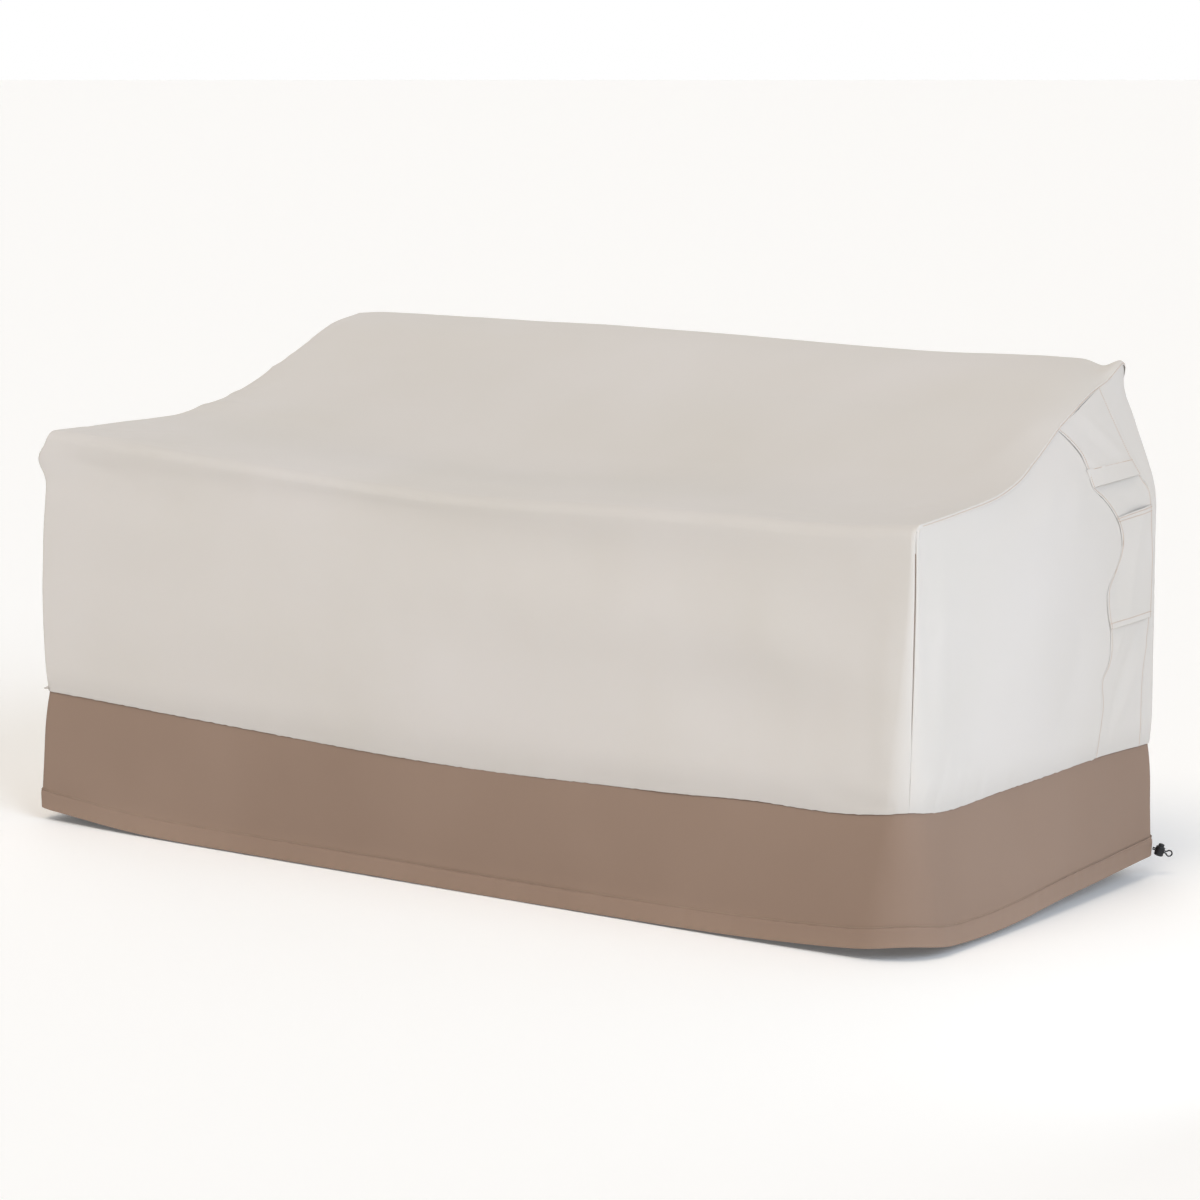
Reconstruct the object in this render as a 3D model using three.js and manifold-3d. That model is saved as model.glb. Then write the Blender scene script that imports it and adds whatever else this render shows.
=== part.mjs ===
// Bench cover of coated cloth in the shape in which it hangs, with a drawcord in its hem.
// Millimetres, +Z up, +X to the right, +Y to the back. The shape is worked out above the ground,
// from the front face, and the group then moves its origin to the spot under the middle of the ridge.
import * as THREE from "three";
import { mergeVertices } from "three/addons/utils/BufferGeometryUtils.js";
import Module from "manifold-3d";

// Driving dimensions of the cover as it was sewn
const HALF_WIDTH = 815;
const DEPTH = 695;
const CLOTH = 2;
const GAP = 0.3;
const SEAM_GAP = 0.6;
const RIDGE_Y = 668;
const RIDGE_ROUND = DEPTH - RIDGE_Y;
const FOLD_ROUND = 18;
const REAR_ROUND = 18;

// Radius of each front corner: sharp at the fold, wider at the band's seam and the hem on the right
const CORNER = {
  right: { fold: 8, seam: 45, hem: 88 },
  left: { fold: 8, seam: 9, hem: 11 },
};
const CORNER_EASE = 1.4;
const LEVEL = { fold: 595, seam: 205, hem: 20 };
const FLARE = { front: 14.5, side: 14.5, back: 1 };

// The side walls lean in towards their tops, more on the left
const LEAN = { foot: 563, blend: 60, run: 350, right: 0.37, left: 0.5 };

// Heights above the ground along the front: top of the fold, band's upper seam, hem
const FRONT_EDGE = [
  { x: -815, fold: 634, seam: 211, hem: 20 },
  { x: -615, fold: 623, seam: 204, hem: 5 },
  { x: -370, fold: 609, seam: 196, hem: 3 },
  { x: -130, fold: 597, seam: 189, hem: 3 },
  { x: 60, fold: 593, seam: 187, hem: 2 },
  { x: 310, fold: 599, seam: 192, hem: 3 },
  { x: 430, fold: 600, seam: 195, hem: 4 },
  { x: 540, fold: 601, seam: 200, hem: 6 },
  { x: 690, fold: 601, seam: 200, hem: 13 },
  { x: 815, fold: 611, seam: 212, hem: 24 },
];

// The same along each side, from the front corner to the rear one
const SIDE_EDGE = [
  { y: 0, seam: 212, hem: 24 },
  { y: 100, seam: 202, hem: 13 },
  { y: 240, seam: 205, hem: 12 },
  { y: 400, seam: 207, hem: 22 },
  { y: 520, seam: 209, hem: 27 },
  { y: 695, seam: 205, hem: 35 },
];

// The back's seam is level and its hem hangs lower in the middle
const BACK_HEM_SAG = 12;

// Height of the ridge along the cover
const RIDGE = [
  { x: -740, z: 788 },
  { x: -400, z: 789 },
  { x: -60, z: 788 },
  { x: 165, z: 784 },
  { x: 300, z: 782 },
  { x: 500, z: 780 },
  { x: 670, z: 783 },
  { x: 740, z: 783 },
];

// Share of the rise from the front fold to the ridge, at the left side, the middle and the right side
const SLOPE = [
  { y: 0, left: 0, middle: 0, right: 0 },
  { y: 120, left: 0.035, middle: 0.05, right: 0.05 },
  { y: 220, left: 0.05, middle: 0.1, right: 0.11 },
  { y: 300, left: 0.07, middle: 0.2, right: 0.22 },
  { y: 350, left: 0.135, middle: 0.31, right: 0.33 },
  { y: 400, left: 0.2, middle: 0.43, right: 0.46 },
  { y: 450, left: 0.33, middle: 0.55, right: 0.6 },
  { y: 500, left: 0.505, middle: 0.66, right: 0.715 },
  { y: 550, left: 0.69, middle: 0.775, right: 0.83 },
  { y: 600, left: 0.9, middle: 0.89, right: 0.925 },
  { y: 668, left: 1, middle: 1, right: 1 },
];

// Shoulder: how far the top cloth turns down before its side seam, and over what width
const SHOULDER = [
  { y: 0, left: 22, right: 0, width: 6 },
  { y: 120, left: 14, right: 0, width: 30 },
  { y: 300, left: 7, right: 3, width: 50 },
  { y: 450, left: 6, right: 12, width: 66 },
  { y: 560, left: 5, right: 17, width: 70 },
  { y: 668, left: 4, right: 22, width: 70 },
];

// Front and rear seams of the upright vent strip, by height
const STRIP_EDGE = [
  { z: 190, front: 508, rear: 652 },
  { z: 248, front: 518, rear: 650 },
  { z: 286, front: 524, rear: 649 },
  { z: 325, front: 520, rear: 652 },
  { z: 345, front: 538, rear: 656 },
  { z: 361, front: 545, rear: 659 },
  { z: 396, front: 545, rear: 667 },
  { z: 423, front: 537, rear: 671 },
  { z: 459, front: 537, rear: 674 },
  { z: 493, front: 572, rear: 676 },
  { z: 515, front: 584, rear: 674 },
  { z: 539, front: 580, rear: 671 },
  { z: 563, front: 561, rear: 669 },
  { z: 595, front: 523, rear: 665 },
  { z: 611, front: 499, rear: 650 },
  { z: 640, front: 497, rear: 634 },
  { z: 660, front: 491, rear: 628 },
  { z: 684, front: 470, rear: 621 },
  { z: 703, front: 446, rear: 615 },
  { z: 760, front: 410, rear: 600 },
];

// Free lower edge of the hood, and the lower flap's sewn top and free lower edge
const HOOD_EDGE = { front: 613, rear: 618 };
const HOOD_STAND_OFF = 2.4;
const LOWER_FLAP = {
  top: { front: 562, rear: 571 },
  edge: { front: 399, rear: 402 },
  standOff: 1.5,
};
const FLAP_CLOTH = 1.5;

// A flap lies close at its sewn top, and turns up over this share of its height
const FLAP_SEAM_GAP = 0.4;
const FLAP_TURN = 0.25;
const FLAP_ROWS = [0, 0.2, 0.4, 0.6, 0.75, 0.84, 0.92, 1];

// Hem casing of the band
const CASING = { height: 30, swell: 2.5 };
const BAND_ROWS = [0.4, 0.6, 0.8, 1];
const CASING_ROWS = [0, 0.2, 0.5, 0.85, 1];

// Soft moves that drape the sewn form: each pulls the cloth near a place, within its reach
const DRAPE = [
  { fold: "beak", x: -815, y: 0, z: 586, reachX: 45, reachY: 60, reachZ: 22, byX: -14, byY: -4, byZ: 0 },
  { fold: "ear", x: 754, y: 674, z: 765, reachX: 19, reachY: 34, reachZ: 26, byX: 9, byY: 2, byZ: 22 },
  { fold: "trough", x: -480, y: 0, z: 575, reachX: 430, reachY: 60, reachZ: 30, byX: 0, byY: 6, byZ: 0 },
  { fold: "trough", x: 120, y: 0, z: 545, reachX: 460, reachY: 60, reachZ: 34, byX: 0, byY: 5, byZ: 0 },
  { fold: "belly", x: -100, y: 0, z: 330, reachX: 620, reachY: 60, reachZ: 170, byX: 0, byY: -8, byZ: 0 },
  { fold: "valley", x: 150, y: 300, z: 640, reachX: 560, reachY: 110, reachZ: 90, byX: 0, byY: 0, byZ: -7 },
  { fold: "side", x: 815, y: 300, z: 400, reachX: 60, reachY: 230, reachZ: 170, byX: 6, byY: 0, byZ: 0 },
  { fold: "tuck", x: 815, y: 600, z: 510, reachX: 60, reachY: 80, reachZ: 80, byX: -5, byY: 0, byZ: 0 },
  { fold: "left edge", x: -815, y: 0, z: 330, reachX: 60, reachY: 260, reachZ: 300, byX: -17, byY: 0, byZ: 0 },
  { fold: "heel", x: 815, y: 700, z: 40, reachX: 60, reachY: 260, reachZ: 120, byX: -10, byY: 0, byZ: 0 },
];

// Drawcord and the lock on it
const CORD = 2.2;
const CORD_SIDES = 8;
const LOCK = {
  diameter: 14.5,
  height: 14.5,
  floor: 1.2,
  bore: 9.6,
  stem: 9,
  stemFoot: 4.5,
  proud: 4.5,
  travel: 3,
  edge: 1.2,
};
const STRANDS = { low: 7.1, high: 9.6 };
const LOCK_STAND_OFF = 4;
const LOOP_RADIUS = 4.4;
const CORD_EXIT_ABOVE_HEM = 10;
const CORD_START = 2.8;
const CORD_DIRECTION = { turn: 36, dip: 18 };

const COLOURS = { cream: 0xd9d1c8, taupe: 0x93806f, black: 0x1c1d22 };
const ROUGHNESS = { cloth: 0.75, plastic: 0.45 };

const lerp = (a, b, t) => a + (b - a) * t;
const clamp = (v, low, high) => Math.min(high, Math.max(low, v));
const handOf = (side) => (side < 0 ? "left" : "right");
const smooth = (t) => t * t * (3 - 2 * t);

// Value of a column of a table at a place along its key column, eased through the rows.
function along(rows, key, at, column) {
  const last = rows.length - 1;
  if (at <= rows[0][key]) return rows[0][column];
  if (at >= rows[last][key]) return rows[last][column];
  const i = rows.findIndex((row) => row[key] > at) - 1;
  const slope = (a, b) => (rows[b][column] - rows[a][column]) / (rows[b][key] - rows[a][key]);
  const step = rows[i + 1][key] - rows[i][key];
  const tangent = (k) => slope(Math.max(k - 1, 0), Math.min(k + 1, last)) * step;
  const t = (at - rows[i][key]) / step;
  const start = rows[i][column];
  const end = rows[i + 1][column];
  return (
    start * (2 * t ** 3 - 3 * t ** 2 + 1) +
    tangent(i) * (t ** 3 - 2 * t ** 2 + t) +
    end * (3 * t ** 2 - 2 * t ** 3) +
    tangent(i + 1) * (t ** 3 - t ** 2)
  );
}

// Plan section of the walls at a height
const flareShare = (z) => clamp((LEVEL.seam - z) / (LEVEL.seam - LEVEL.hem), 0, 1.1);
const halfWidthAt = (z) => HALF_WIDTH + FLARE.side * flareShare(z);
const frontAt = (z) => -FLARE.front * flareShare(z);
const backAt = (z) => DEPTH + FLARE.back * flareShare(z);

function cornerAt(side, z) {
  const { fold, seam, hem } = CORNER[handOf(side)];
  if (z < LEVEL.seam) return lerp(seam, hem, flareShare(z));
  const drop = clamp((LEVEL.fold - z) / (LEVEL.fold - LEVEL.seam), 0, 1);
  return lerp(fold, seam, drop ** CORNER_EASE);
}

const roundOff = (inset, radius) =>
  inset >= radius ? 0 : radius - Math.sqrt(Math.max(0, radius ** 2 - (radius - inset) ** 2));

function leanAt(side, y, z) {
  const over = Math.max(0, z - LEAN.foot);
  const eased = over < LEAN.blend ? over ** 2 / (2 * LEAN.blend) : over - LEAN.blend / 2;
  return LEAN[handOf(side)] * eased * clamp(y / LEAN.run, 0, 1);
}

// Point of a side wall. Past the start of the rear corner, q runs on round the corner's arc.
function sideWall(side, q, z) {
  const arcStart = backAt(z) - REAR_ROUND;
  const turn = clamp((q - arcStart) / REAR_ROUND, 0, Math.PI / 2);
  const y = Math.min(q, arcStart) + REAR_ROUND * Math.sin(turn);
  const cut = roundOff(q - frontAt(z), cornerAt(side, z)) + REAR_ROUND * (1 - Math.cos(turn));
  return new THREE.Vector3(side * (halfWidthAt(z) - leanAt(side, y, z) - cut), y, z);
}
const REAR_END = DEPTH - REAR_ROUND + (REAR_ROUND * Math.PI) / 2;

// Height of the draped top, before the shoulders turn down: across runs from -1 to 1 between the seams.
function topHeight(across, y) {
  const middle = along(SLOPE, "y", y, "middle");
  const side = along(SLOPE, "y", y, handOf(across));
  const share = lerp(middle, side, smooth(Math.abs(across)));
  const x = across * HALF_WIDTH;
  return lerp(along(FRONT_EDGE, "x", x, "fold"), along(RIDGE, "x", x, "z"), share);
}

// Side seam of the top cloth: it rounds the fold, climbs the slope and turns down behind the ridge.
function seamHeight(side, y) {
  const level = clamp(y, FOLD_ROUND, RIDGE_Y);
  const drop = along(SHOULDER, "y", level, handOf(side));
  const height = topHeight(side, level) - drop;
  if (y < FOLD_ROUND) return height - roundOff(y, FOLD_ROUND);
  if (y > RIDGE_Y) return height - roundOff(DEPTH - y, RIDGE_ROUND);
  return height;
}

// Upper edge of a side piece, set back under the top cloth, also inside the rounds of fold and ridge
function underSeam(side, y) {
  const under = CLOTH + 2 * SEAM_GAP;
  const inRound = (radius, far) => Math.sqrt(Math.max(0, (radius - under) ** 2 - far ** 2)) - radius;
  if (y < FOLD_ROUND) return seamHeight(side, FOLD_ROUND) + inRound(FOLD_ROUND, FOLD_ROUND - y);
  if (y > RIDGE_Y) {
    const over = (y - RIDGE_Y) / RIDGE_ROUND;
    return seamHeight(side, RIDGE_Y) + inRound(RIDGE_ROUND, y - RIDGE_Y) - 2 * SEAM_GAP * over;
  }
  const reach = 2;
  const far = Math.min(y + reach, RIDGE_Y);
  const near = Math.max(y - reach, FOLD_ROUND);
  const rise = (seamHeight(side, far) - seamHeight(side, near)) / (far - near);
  return seamHeight(side, y) - under * Math.hypot(1, rise);
}

// Height of the band's seam or hem at a spot of the outline, eased round the front corners
function edgeHeight(column, x, y) {
  const radius = CORNER[handOf(x)][column];
  const far = Math.abs(x) - (HALF_WIDTH - radius);
  const front = along(FRONT_EDGE, "x", x, column);
  const side = along(SIDE_EDGE, "y", y, column);
  if (y >= radius) return side;
  if (far <= 0) return front;
  const angle = Math.atan2(far, radius - y);
  return lerp(front, side, smooth((2 * angle) / Math.PI));
}

// Foot of a cream piece on the band's seam, where a side wall stands at depth y
function footHeight(side, y) {
  const inset = roundOff(y, CORNER[handOf(side)].seam);
  return edgeHeight("seam", side * (HALF_WIDTH - inset), y) + SEAM_GAP;
}

function drape(point) {
  const moved = point.clone();
  for (const pull of DRAPE) {
    const far = Math.hypot(
      (point.x - pull.x) / pull.reachX,
      (point.y - pull.y) / pull.reachY,
      (point.z - pull.z) / pull.reachZ,
    );
    const weight = Math.exp(-far * far);
    moved.x += pull.byX * weight;
    moved.y += pull.byY * weight;
    moved.z += pull.byZ * weight;
  }
  return moved;
}

// Closed cloth solid on a surface given over u and v from 0 to 1, facing along dP/du x dP/dv.
// The faces lie at two distances from the surface, outer and inner, each a function of v.
function clothSolid({ surface, columns, rows, outer, inner, ring = false }) {
  const step = 1e-4;
  const corners = [];
  const lines = columns.length;
  const at = (u, v) => surface(ring ? (u + 1) % 1 : clamp(u, 0, 1), clamp(v, 0, 1));
  const normal = (u, v) => {
    const du = at(u + step, v).sub(at(u - step, v));
    const dv = at(u, v + step).sub(at(u, v - step));
    return du.cross(dv).normalize();
  };
  for (const v of rows)
    for (const u of columns) {
      const base = at(u, v);
      const n = normal(u, v);
      corners.push(drape(base.clone().addScaledVector(n, outer(v))));
      corners.push(drape(base.clone().addScaledVector(n, inner(v))));
    }
  const index = [];
  const id = (i, j, face) => 2 * (j * lines + (i % lines)) + face;
  const quad = (a, b, c, d) => index.push(a, b, c, a, c, d);
  const spans = ring ? lines : lines - 1;
  for (let j = 0; j < rows.length - 1; j++)
    for (let i = 0; i < spans; i++) {
      quad(id(i, j, 0), id(i + 1, j, 0), id(i + 1, j + 1, 0), id(i, j + 1, 0));
      quad(id(i, j, 1), id(i, j + 1, 1), id(i + 1, j + 1, 1), id(i + 1, j, 1));
    }
  const top = rows.length - 1;
  for (let i = 0; i < spans; i++) {
    quad(id(i, 0, 0), id(i, 0, 1), id(i + 1, 0, 1), id(i + 1, 0, 0));
    quad(id(i, top, 0), id(i + 1, top, 0), id(i + 1, top, 1), id(i, top, 1));
  }
  if (!ring)
    for (let j = 0; j < top; j++) {
      quad(id(0, j, 0), id(0, j + 1, 0), id(0, j + 1, 1), id(0, j, 1));
      quad(id(spans, j, 0), id(spans, j, 1), id(spans, j + 1, 1), id(spans, j + 1, 0));
    }
  const geometry = new THREE.BufferGeometry().setFromPoints(corners);
  geometry.setIndex(index);
  return geometry;
}

const evenly = (count) => Array.from({ length: count + 1 }, (_, i) => i / count);
const cut = (offset) => () => offset;

// Patch of a side wall between four edges, each a function that gives { q, z }.
function sidePatch(side, { left, right, low, high }) {
  const mix = (u, v, key) =>
    lerp(left(v)[key], right(v)[key], u) +
    lerp(low(u)[key], high(u)[key], v) -
    lerp(lerp(left(0)[key], right(0)[key], u), lerp(left(1)[key], right(1)[key], u), v);
  // The left wall is walked from back to front, so that it still faces out.
  return (u, v) => {
    const across = side > 0 ? u : 1 - u;
    return sideWall(side, mix(across, v, "q"), mix(across, v, "z"));
  };
}

// Depth at which a seam of the vent strip meets the top cloth
function stripTop(side, column) {
  let depth = RIDGE_Y;
  for (let i = 0; i < 40; i++)
    depth = lerp(depth, along(STRIP_EDGE, "z", underSeam(side, depth), column), 0.5);
  return depth;
}

// Upright edge of the vent strip, as a curve from its foot to its top
function stripEdge(side, column, shift) {
  const foot = footHeight(side, along(STRIP_EDGE, "z", LEVEL.seam, column));
  const top = underSeam(side, stripTop(side, column));
  return (v) => {
    const z = lerp(foot, top, v);
    return { q: along(STRIP_EDGE, "z", z, column) + shift, z };
  };
}

// Edge between the ends of two upright edges: the band's seam below, the top seam above.
function betweenEnds(from, to, heightAt) {
  return (u) => {
    const q = lerp(from.q, to.q, u);
    return { q, z: heightAt(q) };
  };
}

// Places where neighbouring pieces share their rows or columns: across the front, from seam to seam,
// round each front corner, up the walls, and by depth along the side seam
const frontPlaces = [-1, -0.935, -0.87, ...evenly(12).map((t) => lerp(-0.8, 0.8, t)), 0.87, 0.935, 1];
const cornerPlaces = evenly(5);
const wallRows = [
  ...evenly(9).map((t) => lerp(0, 0.59, t)),
  ...evenly(5).map((t) => lerp(0.63, 0.75, t)),
  ...evenly(4).map((t) => lerp(0.8, 1, t)),
];
const FRONT_ROWS = [0, 0.2, 0.4, 0.57, 0.71, 0.82, 0.91, 0.96];
const FOLD_STEPS = 5;
const foldDepths = evenly(FOLD_STEPS).map((t) => FOLD_ROUND * (1 - Math.cos((t * Math.PI) / 2)));
const topDepths = [30, 45, 60, 80, 105, 145, 200, 255, 300, 345, 396];
const stripDepths = (side) =>
  evenly(3).map((t) => lerp(stripTop(side, "front"), stripTop(side, "rear"), t));
const REAR_DEPTH = 640;
const ridgeAngles = evenly(4).map((t) => (t * Math.PI) / 2);

// Columns of a side patch that stand at given depths of its upper edge
function columnsAt(side, depths) {
  const first = depths[0];
  const last = depths.at(-1);
  const shares = depths.map((depth) => (depth - first) / (last - first));
  return side > 0 ? shares : shares.map((share) => 1 - share).reverse();
}

// The front corner seam stands halfway round the corner, and only near its top does the side panel
// step back, under the rounded fold.
const TOP_EASE = 8;
const cornerShare = 1 - Math.SQRT1_2;
const panelStart = cornerShare * CORNER.right.fold + CLOTH + SEAM_GAP;
const panelDepths = (side) => [
  panelStart,
  ...foldDepths.slice(-3),
  ...topDepths,
  stripTop(side, "front"),
];

function sidePanel(side) {
  const foot = footHeight(side, cornerShare * CORNER[handOf(side)].seam);
  const top = underSeam(side, panelStart);
  const left = (v) => {
    const z = lerp(foot, top, v);
    const setBack = lerp(GAP, CLOTH + SEAM_GAP, v ** TOP_EASE);
    return { q: frontAt(z) + cornerShare * cornerAt(side, z) + setBack, z };
  };
  const right = stripEdge(side, "front", -GAP);
  return clothSolid({
    surface: sidePatch(side, {
      left,
      right,
      low: betweenEnds(left(0), right(0), (q) => footHeight(side, q)),
      high: betweenEnds(left(1), right(1), (q) => underSeam(side, q)),
    }),
    columns: columnsAt(side, panelDepths(side)),
    rows: wallRows,
    outer: cut(0),
    inner: cut(-CLOTH),
  });
}

function ventStrip(side) {
  const left = stripEdge(side, "front", GAP);
  const right = stripEdge(side, "rear", -GAP);
  return clothSolid({
    surface: sidePatch(side, {
      left,
      right,
      low: betweenEnds(left(0), right(0), (q) => footHeight(side, q)),
      high: betweenEnds(left(1), right(1), (q) => underSeam(side, q)),
    }),
    columns: columnsAt(side, stripDepths(side)),
    rows: wallRows,
    outer: cut(0),
    inner: cut(-CLOTH),
  });
}

// A flap that lies on the strip, sewn at its top and both its sides, its lower edge standing off
function flap(side, { top, edge, standOff }) {
  const upright = (column, shift) => (v) => {
    const z = lerp(edge[column], top[column], v);
    return { q: along(STRIP_EDGE, "z", z, column) + shift, z };
  };
  const left = upright("front", 2 * GAP);
  const right = upright("rear", -2 * GAP);
  const across = (v) => (u) => ({
    q: lerp(left(v).q, right(v).q, u),
    z: lerp(left(v).z, right(v).z, u),
  });
  const lift = (v) => {
    const below = smooth(Math.min(1, (1 - v) / FLAP_TURN));
    return FLAP_SEAM_GAP + SEAM_GAP * 1.5 * below + standOff * (1 - v) ** 3;
  };
  return clothSolid({
    surface: sidePatch(side, { left, right, low: across(0), high: across(1) }),
    columns: columnsAt(side, stripDepths(side)),
    rows: FLAP_ROWS,
    outer: (v) => lift(v) + FLAP_CLOTH,
    inner: lift,
  });
}

const hoodTop = (side) => ({
  front: underSeam(side, stripTop(side, "front")),
  rear: underSeam(side, stripTop(side, "rear")),
});

// Columns of the top cloth: share runs to 1 from the middle to where a corner or a shoulder starts,
// then turn runs to 1 at the side seam.
function columnAt(u) {
  const place = lerp(-2, 2, u);
  const far = Math.abs(place);
  return { side: place < 0 ? -1 : 1, share: Math.min(1, far), turn: Math.max(0, far - 1) };
}
const beyond = cornerPlaces.slice(1).map((t) => 1 + t);
const topPlaces = [...beyond.map((place) => -place).reverse(), ...frontPlaces, ...beyond];
const topColumns = topPlaces.map((place) => (place + 2) / 4);

// Front, top and slope are one cloth, from the band's seam up over the fold and just over the ridge.
function topFrontPanel() {
  // A row may end at another depth on the left than on the right.
  const even = (depth) => [depth, depth];
  const rightStrip = stripDepths(1);
  const stripRows = stripDepths(-1).map((depth, i) => [depth, rightStrip[i]]);
  const topRows = [...topDepths.map(even), ...stripRows, even(REAR_DEPTH)];
  const stations = [
    ...FRONT_ROWS.map((at) => ({ part: "front", at })),
    ...evenly(FOLD_STEPS).map((t) => ({ part: "fold", at: (t * Math.PI) / 2 })),
    ...topRows.map((at) => ({ part: "top", at })),
    ...ridgeAngles.map((at) => ({ part: "ridge", at })),
  ];

  const spot = (u, station) => {
    const { side, share, turn } = columnAt(u);
    const bend = (turn * Math.PI) / 4;
    if (station.part === "front") {
      const wide = CORNER[handOf(side)].seam;
      const footX = side * (share * (HALF_WIDTH - wide) + wide * Math.sin(bend));
      const low = edgeHeight("seam", footX, wide * (1 - Math.cos(bend))) + SEAM_GAP;
      const width = along(SHOULDER, "y", 0, "width");
      const across = side * (share * (1 - width / HALF_WIDTH) + (turn * width) / HALF_WIDTH);
      const drop = turn * turn * along(SHOULDER, "y", 0, handOf(side));
      const z = lerp(low, topHeight(across, FOLD_ROUND) - FOLD_ROUND - drop, station.at);
      const radius = cornerAt(side, z);
      const flat = halfWidthAt(z) - radius;
      return new THREE.Vector3(
        side * (share * flat + radius * Math.sin(bend)),
        frontAt(z) + radius * (1 - Math.cos(bend)),
        z,
      );
    }
    let y = station.part === "top" ? lerp(...station.at, u) : 0;
    if (station.part === "fold") y = FOLD_ROUND * (1 - Math.cos(station.at));
    if (station.part === "ridge") y = RIDGE_Y + RIDGE_ROUND * Math.sin(station.at);
    const level = clamp(y, 0, RIDGE_Y);
    const drop = along(SHOULDER, "y", level, handOf(side));
    const width = along(SHOULDER, "y", level, "width");
    const edgeZ = seamHeight(side, y);
    const rounding = station.part === "fold" ? CORNER.right.fold * Math.cos(station.at) : 0;
    const corners = roundOff(DEPTH - y, REAR_ROUND) + cornerShare * rounding;
    const edge = HALF_WIDTH - leanAt(side, y, edgeZ) - corners;
    const x = side * (share * (edge - width) + turn * width);
    let z = topHeight(x / edge, Math.max(level, FOLD_ROUND)) - drop * turn * turn;
    if (station.part === "fold") z -= FOLD_ROUND * (1 - Math.sin(station.at));
    if (station.part === "ridge") z -= RIDGE_ROUND * (1 - Math.cos(station.at));
    return new THREE.Vector3(x, y + rounding * (1 - Math.cos(bend)), z);
  };
  const surface = (u, v) => {
    const place = v * (stations.length - 1);
    const i = Math.min(Math.floor(place), stations.length - 2);
    return spot(u, stations[i]).lerp(spot(u, stations[i + 1]), place - i);
  };
  return clothSolid({
    surface,
    columns: topColumns,
    rows: evenly(stations.length - 1),
    outer: cut(0),
    inner: cut(-CLOTH),
  });
}

// Share of the back panel's columns that lies round each rear corner
const WRAP_SHARE = 0.12;

// The back hangs from the ridge and wraps round both rear corners as far as the vent strips.
function backPanel() {
  const wrap = WRAP_SHARE;
  const patch = (side) => {
    const near = stripEdge(side, "rear", GAP);
    const depthAt = (q) => sideWall(side, q, LEVEL.fold).y;
    const under = (q) => underSeam(side, depthAt(q));
    const far = (v) => ({ q: REAR_END, z: lerp(footHeight(side, DEPTH), under(REAR_END), v) });
    return sidePatch(side, {
      left: near,
      right: far,
      low: betweenEnds(near(0), far(0), (q) => footHeight(side, depthAt(q))),
      high: betweenEnds(near(1), far(1), under),
    });
  };
  const right = patch(1);
  const left = patch(-1);
  const surface = (u, v) => {
    if (u < wrap) return right(u / wrap, v);
    if (u > 1 - wrap) return left((u - 1 + wrap) / wrap, v);
    const { side, share, turn } = columnAt(1 - (u - wrap) / (1 - 2 * wrap));
    const edge = Math.abs(side > 0 ? right(1, v).x : left(0, v).x);
    const { width, [handOf(side)]: drop } = SHOULDER.at(-1);
    const x = side * (share * (edge - width) + turn * width);
    const high = topHeight(x / edge, RIDGE_Y) - RIDGE_ROUND - 2 * SEAM_GAP - drop * turn * turn;
    const z = lerp(footHeight(side, DEPTH), high, v);
    return new THREE.Vector3(x, backAt(z), z);
  };
  const arcDepths = ridgeAngles.slice(1).map((angle) => {
    const sine = (RIDGE_ROUND * Math.sin(angle) - RIDGE_ROUND + REAR_ROUND) / REAR_ROUND;
    return DEPTH - REAR_ROUND + REAR_ROUND * Math.asin(sine);
  });
  const ends = (side) => {
    const depths = [stripTop(side, "rear"), REAR_DEPTH, RIDGE_Y, ...arcDepths];
    return columnsAt(1, depths).map((share) => share * wrap);
  };
  const middle = topColumns.slice(1, -1).map((t) => lerp(wrap, 1 - wrap, t));
  return clothSolid({
    surface,
    columns: [...ends(1), ...middle, ...ends(-1).map((u) => 1 - u).reverse()],
    rows: wallRows,
    outer: cut(0),
    inner: cut(-CLOTH),
  });
}

// Depths of the side pieces' columns at the band's seam, between the front corner and the rear one
function footDepths(side) {
  const { seam } = CORNER[handOf(side)];
  const spread = (depths, from, to) =>
    depths.map((depth) => lerp(from, to, (depth - depths[0]) / (depths.at(-1) - depths[0])));
  const strip = (column) => along(STRIP_EDGE, "z", LEVEL.seam, column);
  const panel = spread(panelDepths(side), cornerShare * seam, strip("front"));
  const vent = spread(stripDepths(side), strip("front"), strip("rear"));
  const between = [...panel, ...vent.slice(1)].filter((q) => q > seam + 1);
  return [seam, ...between, DEPTH - REAR_ROUND];
}

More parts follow.
